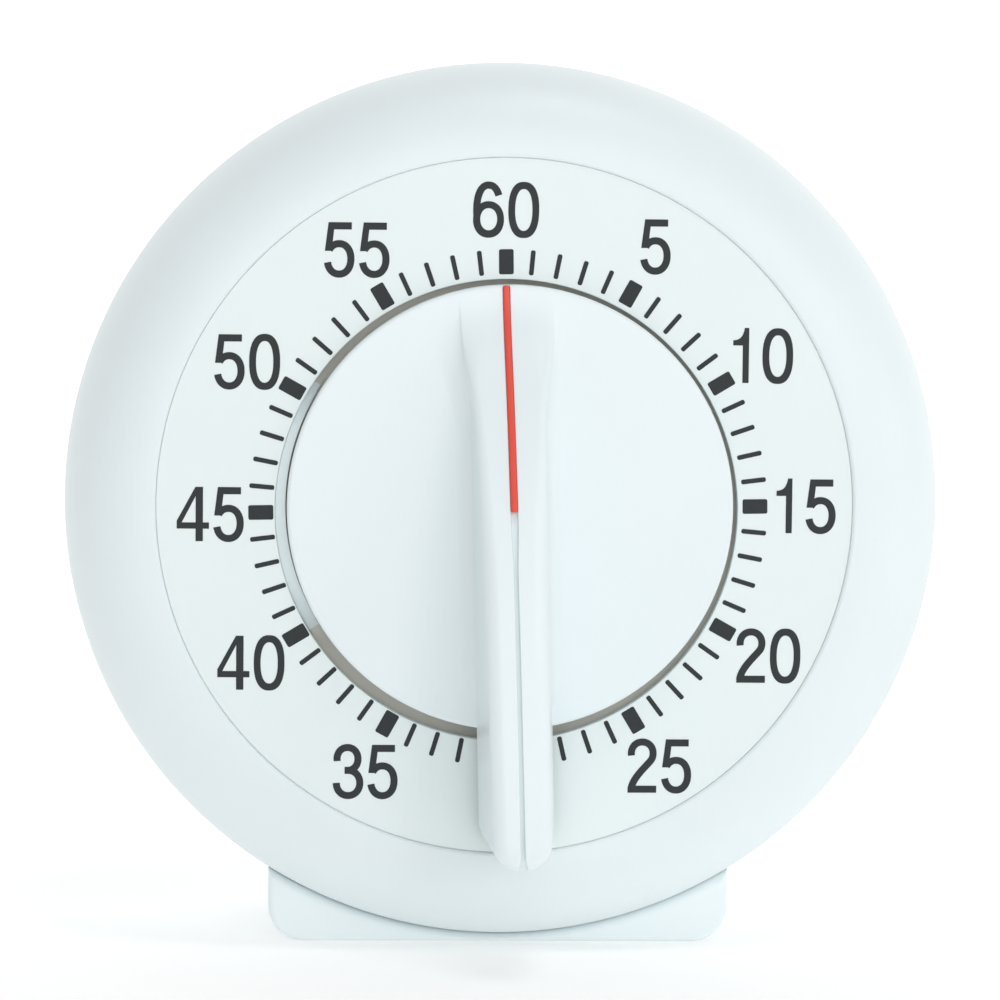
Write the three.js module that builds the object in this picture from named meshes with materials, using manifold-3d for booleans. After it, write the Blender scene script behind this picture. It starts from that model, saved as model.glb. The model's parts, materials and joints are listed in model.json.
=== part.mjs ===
// Wind-up laboratory timer, 60 minutes. Millimetres, +Z up, the dial faces -Y.
//
// Everything is drawn in a front view: x to the right, y up, z towards the person reading the dial,
// with z = 0 on the plane of the rear cover. One group then stands that drawing upright on its foot.
import * as THREE from 'three';
import { mergeVertices } from 'three/addons/utils/BufferGeometryUtils.js';
import Module from 'manifold-3d';

const wasm = await Module();
wasm.setup();

// ---------------------------------------------------------------- driving dimensions
const CASE_RADIUS = 50; // bezel, at its widest
const CASE_DEPTH = 36; // rear cover to bezel lip
const AXIS_HEIGHT = 51; // knob axis above the table
const AXIS_SHIFT = 0.5; // movement and knob sit this far right of the case's centre
const PARTING = 25; // plane where the two housings meet
const GAP = 0.3; // between pieces that touch
const WALL = 2;
const LIP_RADIUS = 39.2; // opening of the bezel around the dial
const SEAT = 34; // z of the wall that the dial plate lies on
const HOUSING_SIDES = 48;

const DIAL_RADIUS = 38.9;
const DIAL_HOLE_RADIUS = 26;
const DIAL_THICKNESS = 1.2;
const DIAL_HOLE_SHIFT = [-0.34, -0.42]; // hole centre, measured from the knob axis

const DISC_RADIUS = 25;
const DISC_FRONT = 37.6;
const DISC_REAR = 34.4;
const FIN_HEIGHT = 16; // above the disc, at the tip
const FIN_WIDTH = 8;
const FIN_REACH = 38.6; // tip, below the axis
const FIN_UNDERSIDE = 36.9; // where the fin passes over dial and bezel
const FIN_ROUNDING = 3.2;
const GROOVE_WIDTH = 1.3;
const GROOVE_DEPTH = 0.8;
const STRIP_WIDTH = 0.8;
const REST_TURN = THREE.MathUtils.degToRad(1.7); // the pointer rests this far from upright, at the 60 mark
const HUB_RADIUS = 3.8;
const HUB_REAR = 29.3;

const FOOT_WIDTH = 53;
const FOOT_CORNER = 3.2;
const FOOT_BACK = 1;
const FOOT_FRONT = 27; // the foot reaches under the bezel, which nests in it
const NEST_GAP = 0.4; // between the bezel and the foot, seen from the front as a dark line

const CASE_SCREW_RADIUS = 41.5;
const CASE_SCREW_ANGLES = [90, 210, 330];
const BOSS_JOINT = 12; // plane where the case bosses meet
const MOVEMENT_SCREW_RADIUS = 31;
const MOVEMENT_SCREW_ANGLES = [100, 220, 340];

const PLATE_RADIUS = 34;
const PLATE_THICKNESS = 1.2;
const REAR_PLATE = 14; // rear face of the rear movement plate
const FRONT_PLATE = 27; // rear face of the front movement plate
const PILLAR_RADIUS = 31.2;
const PILLAR_ANGLES = [50, 130, 180, 290];
const TENON_RADIUS = 1;

const PIVOT_RADIUS = 0.5;
const ARBOR_RADIUS = 0.9;
const MAIN_SEAT_RADIUS = 2.2;
const MAIN_PIVOT_RADIUS = 1.2;
const D_SHAFT_RADIUS = 1.9;
const RUNNING = 0.06; // clearance of a pivot in its hole

const WHEEL_TEETH = 48;
const PINION_LEAVES = 8;
const ESCAPE_TEETH = 15;
const ESCAPE_RADIUS = 7;
const TRAIN_MODULES = [0.6, 0.5, 0.4]; // main, second and third wheel
const TRAIN_ANGLES = [150, 249.3, 278]; // direction from each arbor to the next
const WHEEL_LEVELS = [21.6, 23.8, 25.3]; // mid planes of main, second and third wheel
const ESCAPE_LEVEL = 20.5;
const WHEEL_THICKNESS = 0.9;

const SPRING_INNER = 3.1;
const SPRING_OUTER = 12.8;
const SPRING_TURNS = 5;
const SPRING_THICKNESS = 0.45;

const CAM_RADIUS = 8.5;
const STRIKE_PIVOT = [19, 10];
const HAMMER_PIVOT = [22, -17];
const PALLET_PIVOT = [-10.2, -21.4];

const BELL_RADIUS = 22;
const BELL_BASE = 3.4;
const BELL_RIM = 12;
const BELL_WALL = 0.8;

// ---------------------------------------------------------------- materials
const material = (color, roughness, metalness) => new THREE.MeshStandardMaterial({
  color, roughness, metalness,
});
const shell = material(0xf1f1f2, 0.38, 0);
const dialWhite = material(0xf3f3f4, 0.45, 0);
const pointerRed = material(0xe25a4c, 0.4, 0);
const brass = material(0xc9a552, 0.35, 1);
const steel = material(0xb9bcc1, 0.35, 1);
const springSteel = material(0x6f737b, 0.3, 1);
const nickel = material(0xd2d4d6, 0.18, 1);
const zinc = material(0xc4c6c8, 0.4, 1);
const fibre = material(0x7b3a2c, 0.8, 0);

// ---------------------------------------------------------------- solids and cuts
function welded(geometry) {
  const bare = geometry.index ? geometry.clone() : mergeVertices(geometry);
  bare.deleteAttribute('normal');
  bare.deleteAttribute('uv');
  const merged = mergeVertices(bare, 1e-4);
  const place = merged.getAttribute('position');
  const kept = [];
  let volume = 0;
  const [a, b, c] = [new THREE.Vector3(), new THREE.Vector3(), new THREE.Vector3()];
  for (let i = 0; i < merged.index.count; i += 3) {
    const corners = [0, 1, 2].map((k) => merged.index.getX(i + k));
    if (new Set(corners).size < 3) continue;
    kept.push(corners);
    [a, b, c].forEach((v, k) => v.fromBufferAttribute(place, corners[k]));
    volume += a.dot(b.cross(c));
  }
  if (volume < 0) kept.forEach((corners) => corners.reverse());
  merged.setIndex(kept.flat());
  return merged;
}

function toSolid(geometry) {
  const merged = welded(geometry);
  return new wasm.Manifold(new wasm.Mesh({
    numProp: 3,
    vertProperties: new Float32Array(merged.getAttribute('position').array),
    triVerts: new Uint32Array(merged.index.array),
  }));
}

function toGeometry(solid) {
  const mesh = solid.getMesh();
  const geometry = new THREE.BufferGeometry();
  const flat = [];
  for (let i = 0; i < mesh.numVert; i += 1) {
    flat.push(...mesh.vertProperties.subarray(i * mesh.numProp, i * mesh.numProp + 3));
  }
  geometry.setAttribute('position', new THREE.Float32BufferAttribute(flat, 3));
  geometry.setIndex([...mesh.triVerts]);
  geometry.computeVertexNormals();
  return geometry;
}

const joined = (...pieces) => toGeometry(pieces.map(toSolid).reduce((sum, s) => sum.add(s)));
const common = (first, second) => toGeometry(toSolid(first).intersect(toSolid(second)));
function cut(base, ...tools) {
  return toGeometry(tools.map(toSolid).reduce((rest, tool) => rest.subtract(tool), toSolid(base)));
}

// ---------------------------------------------------------------- outlines
const radians = THREE.MathUtils.degToRad;
const polar = (radius, degrees) => [radius * Math.cos(radians(degrees)), radius * Math.sin(radians(degrees))];
const point = (x, y) => new THREE.Vector2(x, y);
const range = (count) => Array.from({ length: count }, (_, i) => i);

function circle(cx, cy, radius, sides) {
  return range(sides).map((i) => {
    const angle = (2 * Math.PI * i) / sides;
    return point(cx + radius * Math.cos(angle), cy + radius * Math.sin(angle));
  });
}

// Part of an ellipse from one angle to another, in degrees, ends included.
function arc(cx, cy, rx, ry, from, to, steps) {
  return range(steps + 1).map((i) => {
    const angle = radians(from + ((to - from) * i) / steps);
    return point(cx + rx * Math.cos(angle), cy + ry * Math.sin(angle));
  });
}

// A bar with round ends between two points.
function link([px, py], [qx, qy], radius, steps = 6) {
  const heading = THREE.MathUtils.radToDeg(Math.atan2(qy - py, qx - px));
  return [
    ...arc(qx, qy, radius, radius, heading - 90, heading + 90, steps),
    ...arc(px, py, radius, radius, heading + 90, heading + 270, steps),
  ];
}

function roundedBlock(halfWidth, low, high, corner, steps = 4) {
  return [
    point(halfWidth, high), point(-halfWidth, high),
    ...arc(-halfWidth + corner, low + corner, corner, corner, 180, 270, steps),
    ...arc(halfWidth - corner, low + corner, corner, corner, 270, 360, steps),
  ];
}

// Teeth with straight flanks: widths are in modules, at the root, at the tip and, where stated, at pitch.
function toothed(teeth, module, shape, turn) {
  const pitchRadius = (teeth * module) / 2;
  const root = pitchRadius - shape.dedendum * module;
  const tip = pitchRadius + shape.addendum * module;
  return range(teeth).flatMap((i) => {
    const middle = turn + (2 * Math.PI * i) / teeth;
    const at = (radius, width) => {
      const angle = middle + (width * module) / (2 * radius);
      return point(radius * Math.cos(angle), radius * Math.sin(angle));
    };
    const rising = [at(root, -shape.rootWidth), at(tip, -shape.tipWidth)];
    const falling = [at(tip, shape.tipWidth), at(root, shape.rootWidth)];
    if (!shape.pitchWidth) return [...rising, ...falling];
    rising.splice(1, 0, at(pitchRadius, -shape.pitchWidth));
    falling.splice(1, 0, at(pitchRadius, shape.pitchWidth));
    return [...rising, ...falling];
  });
}

const WHEEL_TOOTH = { addendum: 0.8, dedendum: 1, rootWidth: 1.7, tipWidth: 0.55 };
const PINION_LEAF = { addendum: 0.35, dedendum: 1.15, rootWidth: 0.6, pitchWidth: 0.95, tipWidth: 0.5 };

// ---------------------------------------------------------------- simple bodies
function slab(outline, low, high, holes = []) {
  const shape = new THREE.Shape(outline);
  shape.holes = holes.map((hole) => new THREE.Path(hole));
  return new THREE.ExtrudeGeometry(shape, { depth: high - low, bevelEnabled: false })
    .translate(0, 0, low);
}

// A closed outline of [radius, z] points turned about the axis of the front view.
function turned(outline, sides) {
  const closed = [...outline, outline[0]].map((p) => (p.isVector2 ? p : point(...p)));
  return new THREE.LatheGeometry(closed, sides).rotateX(Math.PI / 2);
}

const rod = (x, y, radius, low, high, sides = 12) => slab(circle(x, y, radius, sides), low, high);
const block = (x0, x1, y0, y1, z0, z1) => new THREE.BoxGeometry(x1 - x0, y1 - y0, z1 - z0)
  .translate((x0 + x1) / 2, (y0 + y1) / 2, (z0 + z1) / 2);

// A stepped shaft: [radius, low, high] for each step, from the rear to the front.
function shaft(steps, sides = 12) {
  const outline = [point(0, steps[0][1])];
  steps.forEach(([radius, low, high]) => outline.push(point(radius, low), point(radius, high)));
  outline.push(point(0, steps.at(-1)[2]));
  return turned(outline, sides);
}

// ---------------------------------------------------------------- assembly
const drawing = new THREE.Group();
const movement = new THREE.Group();
movement.position.x = AXIS_SHIFT;
drawing.add(movement);

function add(name, geometry, look, [x, y] = [0, 0], group = movement) {
  const mesh = new THREE.Mesh(welded(geometry), look);
  mesh.geometry.computeVertexNormals();
  mesh.name = name;
  mesh.position.set(x, y, 0);
  group.add(mesh);
  return mesh;
}

// A cross-head screw that points along +z: head at the rear, shank to the front.
function screw(headRadius, headHeight, shankRadius, length, reach = 0.55) {
  const body = shaft([[headRadius, 0, headHeight], [shankRadius, headHeight, headHeight + length]], 14);
  const arm = headRadius * reach;
  const slot = 0.28;
  const deep = headHeight * 0.6;
  return cut(
    body,
    joined(block(-arm, arm, -slot, slot, -1, deep), block(-slot, slot, -arm, arm, -1, deep)),
  );
}

// ---------------------------------------------------------------- front housing
const DOME_START = PARTING + 0.5;
const DOME_ROOM = [38, 10.2]; // centre radius and width of the dome's inner curve
const LIP_CHAMFER = 0.4;
const BOSS_RADIUS = 3;
const PILOT = { case: 1.45, movement: 1.2, caseDepth: 23 }; // holes that the screws bite into
const CREST_RADIUS = 39.7; // where the dome is highest
const HUB_HOLE_RADIUS = HUB_RADIUS + 0.6;
const WALL_REAR = SEAT - WALL;
const frontOutline = [
  point(CASE_RADIUS, PARTING),
  ...arc(CREST_RADIUS, DOME_START, CASE_RADIUS - CREST_RADIUS, CASE_DEPTH - DOME_START, 0, 90, 7),
  point(LIP_RADIUS, CASE_DEPTH - LIP_CHAMFER),
  point(LIP_RADIUS, SEAT),
  point(HUB_HOLE_RADIUS + 1, SEAT),
  point(HUB_HOLE_RADIUS + 1, WALL_REAR),
  ...arc(DOME_ROOM[0], DOME_START, DOME_ROOM[1], WALL_REAR + 0.6 - DOME_START, 90, 0, 5),
  point(CASE_RADIUS - WALL + 0.2, PARTING),
];
const movementBosses = MOVEMENT_SCREW_ANGLES.map((angle) => {
  const [x, y] = polar(MOVEMENT_SCREW_RADIUS, angle);
  return rod(x + AXIS_SHIFT, y, 2.8, FRONT_PLATE + PLATE_THICKNESS + GAP, WALL_REAR + 0.5);
});
const caseBosses = CASE_SCREW_ANGLES.map((angle) => {
  const [x, y] = polar(CASE_SCREW_RADIUS, angle);
  return rod(x, y, BOSS_RADIUS, BOSS_JOINT + GAP, WALL_REAR + 0.8);
});
const hubCollar = cut(
  rod(AXIS_SHIFT, 0, HUB_HOLE_RADIUS + 2.4, WALL_REAR, SEAT, 24),
  rod(AXIS_SHIFT, 0, HUB_HOLE_RADIUS, WALL_REAR - 1, SEAT + 1, 24),
);
add('front_housing', cut(
  joined(turned(frontOutline, HOUSING_SIDES), hubCollar, ...movementBosses, ...caseBosses),
  rod(AXIS_SHIFT, 0, HUB_HOLE_RADIUS, WALL_REAR - 1, SEAT + 1, 24),
  ...MOVEMENT_SCREW_ANGLES.map((angle) => {
    const [x, y] = polar(MOVEMENT_SCREW_RADIUS, angle);
    return rod(x + AXIS_SHIFT, y, PILOT.movement, FRONT_PLATE, WALL_REAR + 0.4, 10);
  }),
  ...CASE_SCREW_ANGLES.map((angle) => (
    rod(...polar(CASE_SCREW_RADIUS, angle), PILOT.case, 0, PILOT.caseDepth, 10)
  )),
), shell, [0, 0], drawing);

// ---------------------------------------------------------------- rear housing with its foot
const DRUM_FRONT = PARTING - GAP;
const DRUM_RADII = [48.6, 49.6]; // at the rear rounding and at the front: the drum has draft
const DRUM_ROUNDING = 4;
const SPIGOT_RADIUS = 47.5; // thin rim that enters the front housing
const SPIGOT_ROOM = 46;
const SPIGOT_FRONT = PARTING + 2.2;
const drumOuter = [
  point(0, 0),
  ...arc(DRUM_RADII[0] - DRUM_ROUNDING, DRUM_ROUNDING, DRUM_ROUNDING, DRUM_ROUNDING, 270, 360, 4),
  point(DRUM_RADII[1], DRUM_FRONT),
  point(SPIGOT_RADIUS, DRUM_FRONT),
  point(SPIGOT_RADIUS, SPIGOT_FRONT),
  point(0, SPIGOT_FRONT),
];
const drumInner = [
  point(0, WALL),
  point(DRUM_RADII[0] - DRUM_ROUNDING - 0.2, WALL),
  point(DRUM_RADII[0] - WALL - 0.2, DRUM_ROUNDING),
  point(DRUM_RADII[1] - WALL - 0.4, DRUM_FRONT - 3.2),
  point(SPIGOT_ROOM, DRUM_FRONT - WALL),
  point(SPIGOT_ROOM, PARTING + 4),
  point(0, PARTING + 4),
];
const foot = cut(
  slab(roundedBlock(FOOT_WIDTH / 2, -AXIS_HEIGHT, -38, FOOT_CORNER), FOOT_BACK, FOOT_FRONT),
  rod(0, 0, CASE_RADIUS + NEST_GAP, DRUM_FRONT, FOOT_FRONT + 1, HOUSING_SIDES),
);
const footHollow = slab(
  roundedBlock(FOOT_WIDTH / 2 - WALL, WALL - AXIS_HEIGHT, -37, FOOT_CORNER - 1),
  FOOT_BACK + WALL,
  DRUM_FRONT - WALL,
);
const SLOT_COUNT = 8;
const SLOT_REACH = [12, 23]; // radii of a sound slot's two ends
const SLOT_HALF_WIDTH = 1.2;
const soundSlots = range(SLOT_COUNT).map((i) => {
  const ends = SLOT_REACH.map((radius) => polar(radius, (360 * i) / SLOT_COUNT));
  return slab(link(...ends, SLOT_HALF_WIDTH, 4), -1, WALL + 1);
});
const hollowed = cut(
  joined(turned(drumOuter, HOUSING_SIDES), foot),
  turned(drumInner, HOUSING_SIDES),
  footHollow,
);
const BELL_HOLE_RADIUS = 1.35;
const POST_RADIUS = 4; // posts inside the rear cover, for the bell and the case screws
const WELL = { radius: 3, depth: 7, hole: 1.7 }; // a case screw sits in a well at the back
add('rear_housing', cut(
  joined(
    hollowed,
    rod(0, 0, POST_RADIUS, WALL - 0.5, BELL_BASE - GAP, 16),
    ...CASE_SCREW_ANGLES.map((angle) => (
      rod(...polar(CASE_SCREW_RADIUS, angle), POST_RADIUS, WALL - 0.5, BOSS_JOINT, 14)
    )),
  ),
  ...soundSlots,
  rod(0, 0, BELL_HOLE_RADIUS, 0.9, BELL_BASE + 1, 12),
  ...CASE_SCREW_ANGLES.flatMap((angle) => [
    rod(...polar(CASE_SCREW_RADIUS, angle), WELL.hole, -1, BOSS_JOINT + 1, 10),
    rod(...polar(CASE_SCREW_RADIUS, angle), WELL.radius, -1, WELL.depth, 16),
  ]),
), shell, [0, 0], drawing);

CASE_SCREW_ANGLES.forEach((angle, i) => {
  add(`case_screw_${i + 1}`, screw(2.7, 1.7, 1.35, 12).translate(0, 0, WELL.depth - WALL), zinc,
    polar(CASE_SCREW_RADIUS, angle), drawing);
});

// ---------------------------------------------------------------- dial plate
const DIAL_REAR = SEAT + GAP;
const dialHole = [AXIS_SHIFT + DIAL_HOLE_SHIFT[0], DIAL_HOLE_SHIFT[1]];
add('dial_plate', slab(
  circle(0, 0, DIAL_RADIUS, HOUSING_SIDES),
  DIAL_REAR,
  DIAL_REAR + DIAL_THICKNESS,
  [circle(...dialHole, DIAL_HOLE_RADIUS, HOUSING_SIDES)],
), dialWhite, [0, 0], drawing);

// ---------------------------------------------------------------- knob
// The crest of the fin in side view: u runs down the dial from the axis, v is height above the disc.
const crest = new THREE.QuadraticBezierCurve(
  point(0.6 - DISC_RADIUS, 0),
  point(-6, 12),
  point(FIN_REACH - 1.5, FIN_HEIGHT),
);
const CREST_STEPS = 10;
const crestPoints = (drop) => crest.getPoints(CREST_STEPS).map((p) => point(p.x, p.y + DISC_FRONT - drop));

// Side-view outline extruded across the fin: u becomes -y, v becomes z, the extrusion becomes x.
function acrossFin(outline, width, rounding = 0) {
  const bevel = rounding > 0;
  return new THREE.ExtrudeGeometry(new THREE.Shape(outline), {
    depth: width - 2 * rounding,
    bevelEnabled: bevel,
    bevelSize: rounding,
    bevelOffset: -rounding,
    bevelThickness: rounding,
    bevelSegments: 4,
  }).translate(0, 0, rounding - width / 2).applyMatrix4(new THREE.Matrix4().makeBasis(
    new THREE.Vector3(0, -1, 0),
    new THREE.Vector3(0, 0, 1),
    new THREE.Vector3(-1, 0, 0),
  ));
}

const FIN_BELOW = 26; // the fin's outline starts this low and is then trimmed
const FIN_ROOM_TOP = -12; // upper end of the hollow inside the fin
const FIN_SKIN = 2.3;
const finOutline = [
  point(-34, FIN_BELOW),
  point(-34, DISC_FRONT - 6.2),
  ...crestPoints(0).slice(0, -1),
  point(FIN_REACH, DISC_FRONT + FIN_HEIGHT),
  point(FIN_REACH, FIN_BELOW),
];
const finHollowOutline = [
  point(FIN_ROOM_TOP, FIN_BELOW),
  point(FIN_ROOM_TOP, DISC_FRONT + 2.5),
  ...crestPoints(FIN_SKIN).filter((p) => p.x > FIN_ROOM_TOP + 1),
  point(FIN_REACH - 2.2, FIN_BELOW),
];
const finRoom = joined(
  block(-20, 20, -60, 60, FIN_UNDERSIDE, 70),
  rod(0, 0, DISC_RADIUS - 0.8, DISC_FRONT - 1.2, 70, HOUSING_SIDES),
);
const fin = common(
  common(acrossFin(finOutline, FIN_WIDTH, FIN_ROUNDING), finRoom),
  slab(link([0, 30], [0, FIN_WIDTH / 2 - FIN_REACH], FIN_WIDTH / 2 + 0.01), 0, 70),
);
const EDGE = 0.5;
const DISC_SKIN = 1.8;
const RIM_SKIN = 1.6;
const disc = turned([
  [0, DISC_FRONT - DISC_SKIN],
  [DISC_RADIUS - RIM_SKIN, DISC_FRONT - DISC_SKIN], [DISC_RADIUS - RIM_SKIN, DISC_REAR],
  [DISC_RADIUS, DISC_REAR], [DISC_RADIUS, DISC_FRONT - EDGE], [DISC_RADIUS - EDGE, DISC_FRONT],
  [0, DISC_FRONT],
], HOUSING_SIDES);
const grooveOutline = [
  ...crestPoints(GROOVE_DEPTH),
  point(FIN_REACH + 1, DISC_FRONT + FIN_HEIGHT - GROOVE_DEPTH),
  point(FIN_REACH + 1, DISC_FRONT + FIN_HEIGHT + 3),
  ...crestPoints(-3).reverse(),
];
const D_FLAT = 1.3; // from the axis to the flat of the D
const BORE_FRONT = 37.2;
const HUB_FRONT = 42; // inside the fin
const dBore = cut(
  rod(0, 0, D_SHAFT_RADIUS + 0.1, HUB_REAR - 1, BORE_FRONT, 16),
  block(-4, 4, D_FLAT + 0.1, 5, HUB_REAR - 2, 40),
);
const knob = cut(
  joined(
    cut(joined(disc, fin), acrossFin(finHollowOutline, FIN_WIDTH - 4)),
    rod(0, 0, HUB_RADIUS, HUB_REAR, HUB_FRONT, 20),
  ),
  acrossFin(grooveOutline, GROOVE_WIDTH),
  dBore,
).rotateZ(REST_TURN);
add('knob', knob, shell);

// The red strip fills the upper half of the groove, up to the knob's axis.
const STRIP_SINK = 0.72;
const STRIP_PROUD = 0.25;
const stripCrest = (drop) => crestPoints(drop).filter((p) => p.x > -24 && p.x < 1.5);
add('pointer_strip', acrossFin(
  [...stripCrest(STRIP_SINK), ...stripCrest(-STRIP_PROUD).reverse()],
  STRIP_WIDTH,
).rotateZ(REST_TURN), pointerRed);

// An open spring ring that grips the hub behind the front wall.
const CLIP_RADII = [HUB_RADIUS + 0.08, 5.1];
const CLIP_LEVEL = [30.2, 31.1];
const clipOutline = [
  ...arc(0, 0, CLIP_RADII[1], CLIP_RADII[1], 20, 340, 16),
  ...arc(0, 0, CLIP_RADII[0], CLIP_RADII[0], 340, 20, 16),
];
add('knob_clip', slab(clipOutline, ...CLIP_LEVEL), springSteel);

// ---------------------------------------------------------------- movement plates
const trainCentres = TRAIN_MODULES.reduce((centres, module, i) => {
  const distance = (module * (WHEEL_TEETH + PINION_LEAVES)) / 2;
  const [dx, dy] = polar(distance, TRAIN_ANGLES[i]);
  return [...centres, [centres[i][0] + dx, centres[i][1] + dy]];
}, [[0, 0]]);
const [, secondCentre, thirdCentre, escapeCentre] = trainCentres;

const pivotHoles = [secondCentre, thirdCentre, escapeCentre, PALLET_PIVOT, STRIKE_PIVOT, HAMMER_PIVOT]
  .map(([x, y]) => circle(x, y, PIVOT_RADIUS + RUNNING, 8));
const tenonHoles = PILLAR_ANGLES
  .map((angle) => circle(...polar(PILLAR_RADIUS, angle), TENON_RADIUS + 0.12, 8));
const plateOutline = circle(0, 0, PLATE_RADIUS, 40);

add('rear_plate', slab(plateOutline, REAR_PLATE, REAR_PLATE + PLATE_THICKNESS, [
  ...pivotHoles,
  ...tenonHoles,
  circle(0, 0, MAIN_PIVOT_RADIUS + 0.08, 16),
  link([4, 19], [14, 17], 3.4),
]), zinc);
add('front_plate', slab(plateOutline, FRONT_PLATE, FRONT_PLATE + PLATE_THICKNESS, [
  ...pivotHoles,
  ...tenonHoles,
  ...MOVEMENT_SCREW_ANGLES.map((angle) => circle(...polar(MOVEMENT_SCREW_RADIUS, angle), 1.5, 12)),
  circle(0, 0, D_SHAFT_RADIUS + 0.15, 16),
  link([2, -16], [13, -12], 3.4),
  link([5, 19], [12, 18], 3.4),
]), zinc);

const PLATE_ROOM = [REAR_PLATE + PLATE_THICKNESS, FRONT_PLATE]; // faces of the two plates
const OVERRUN = 0.3; // a pivot passes this far through its plate
PILLAR_ANGLES.forEach((angle, i) => {
  add(`pillar_${i + 1}`, shaft([
    [TENON_RADIUS, REAR_PLATE - OVERRUN, PLATE_ROOM[0] + 0.05],
    [1.8, PLATE_ROOM[0] + 0.05, PLATE_ROOM[1] - 0.05],
    [TENON_RADIUS, PLATE_ROOM[1] - 0.05, FRONT_PLATE + PLATE_THICKNESS + 0.15],
  ], 10), steel, polar(PILLAR_RADIUS, angle));
});
MOVEMENT_SCREW_ANGLES.forEach((angle, i) => {
  add(`movement_screw_${i + 1}`, screw(2.2, 1.3, 1.1, 5.4).translate(0, 0, FRONT_PLATE - 1.35), zinc,
    polar(MOVEMENT_SCREW_RADIUS, angle));
});

// ---------------------------------------------------------------- main arbor, spring and wheel
const SPRING_LEVEL = [15.8, 20.2];
const SPRING_ARBOR_RADIUS = 2.7;
const MAIN_SHOULDERS = [20.7, 26.7, 36.6]; // spring seat to wheel seat, wheel seat to D, front end
const mainShaft = shaft([
  [MAIN_PIVOT_RADIUS, REAR_PLATE - OVERRUN, PLATE_ROOM[0] + 0.1],
  [SPRING_ARBOR_RADIUS, PLATE_ROOM[0] + 0.1, MAIN_SHOULDERS[0]],
  [MAIN_SEAT_RADIUS, MAIN_SHOULDERS[0], MAIN_SHOULDERS[1]],
  [D_SHAFT_RADIUS, MAIN_SHOULDERS[1], MAIN_SHOULDERS[2]],
], 16);
add('main_arbor', cut(mainShaft, block(-4, 4, D_FLAT, 5, HUB_REAR - 0.5, 40)).rotateZ(REST_TURN), steel);

const SPRING_STEPS = 18; // for each turn
const spiral = (inset) => range(SPRING_TURNS * SPRING_STEPS + 1).map((i) => {
  const turns = i / SPRING_STEPS;
  const radius = SPRING_INNER + ((SPRING_OUTER - SPRING_INNER) * turns) / SPRING_TURNS + inset;
  return point(...polar(radius, 360 * turns));
});
add('mainspring', slab([...spiral(SPRING_THICKNESS), ...spiral(0).reverse()], ...SPRING_LEVEL), springSteel);

// Each wheel has a tooth, and each pinion a space, on the line between their centres.
const wheelTurn = (stage) => radians(TRAIN_ANGLES[stage]);
const pinionTurn = (stage) => wheelTurn(stage) + Math.PI + Math.PI / PINION_LEAVES;

function wheel(stage, bore, windowRadius) {
  const pitchRadius = (WHEEL_TEETH * TRAIN_MODULES[stage]) / 2;
  return slab(
    toothed(WHEEL_TEETH, TRAIN_MODULES[stage], WHEEL_TOOTH, wheelTurn(stage)),
    WHEEL_LEVELS[stage] - WHEEL_THICKNESS / 2,
    WHEEL_LEVELS[stage] + WHEEL_THICKNESS / 2,
    [
      circle(0, 0, bore, 16),
      ...range(4).map((i) => circle(...polar(pitchRadius * 0.58, 45 + 90 * i), windowRadius, 12)),
    ],
  );
}

add('main_wheel', wheel(0, MAIN_SEAT_RADIUS + 0.08, 3), brass);
// A three-armed spring washer presses the main wheel against the arbor's shoulder.
const CLUTCH_LEVEL = [22.25, 22.65];
const clutchArms = range(3).map((i) => (
  slab(link(polar(3.1, 120 * i), polar(6.2, 120 * i), 1.1, 4), ...CLUTCH_LEVEL)
));
add('clutch_spring', cut(
  joined(slab(circle(0, 0, 3.5, 18), ...CLUTCH_LEVEL), ...clutchArms),
  rod(0, 0, MAIN_SEAT_RADIUS + 0.08, 20, 24, 16),
), springSteel);

// ---------------------------------------------------------------- going train
function pinionArbor(stage) {
  const level = WHEEL_LEVELS[stage];
  const leaves = slab(
    toothed(PINION_LEAVES, TRAIN_MODULES[stage], PINION_LEAF, pinionTurn(stage)),
    level - 0.8,
    level + 0.8,
  );
  return joined(plainArbor(), leaves);
}

function plainArbor(rear = REAR_PLATE - OVERRUN) {
  return shaft([
    [PIVOT_RADIUS, rear, PLATE_ROOM[0] + 0.15],
    [ARBOR_RADIUS, PLATE_ROOM[0] + 0.15, PLATE_ROOM[1] - 0.15],
    [PIVOT_RADIUS, PLATE_ROOM[1] - 0.15, FRONT_PLATE + PLATE_THICKNESS + OVERRUN / 2],
  ], 10);
}

const ARBOR_BORE = ARBOR_RADIUS + 0.06;
add('second_arbor', pinionArbor(0), steel, secondCentre);
add('second_wheel', wheel(1, ARBOR_BORE, 2.6), brass, secondCentre);
add('third_arbor', pinionArbor(1), steel, thirdCentre);
add('third_wheel', wheel(2, ARBOR_BORE, 2), brass, thirdCentre);
add('escape_arbor', pinionArbor(2), steel, escapeCentre);
const escapeOutline = range(ESCAPE_TEETH).flatMap((i) => {
  const pitch = 360 / ESCAPE_TEETH;
  return [
    point(...polar(ESCAPE_RADIUS, pitch * i)),
    point(...polar(ESCAPE_RADIUS - 0.1, pitch * (i + 0.08))),
    point(...polar(ESCAPE_RADIUS - 1.7, pitch * (i + 0.3))),
    point(...polar(ESCAPE_RADIUS - 1.7, pitch * (i + 0.8))),
  ];
});
add('escape_wheel', slab(
  escapeOutline,
  ESCAPE_LEVEL - WHEEL_THICKNESS / 2,
  ESCAPE_LEVEL + WHEEL_THICKNESS / 2,
  [circle(0, 0, ARBOR_BORE, 12), ...range(4).map((i) => circle(...polar(3.1, 90 * i + 45), 1.2, 10))],
), brass, escapeCentre);

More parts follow.
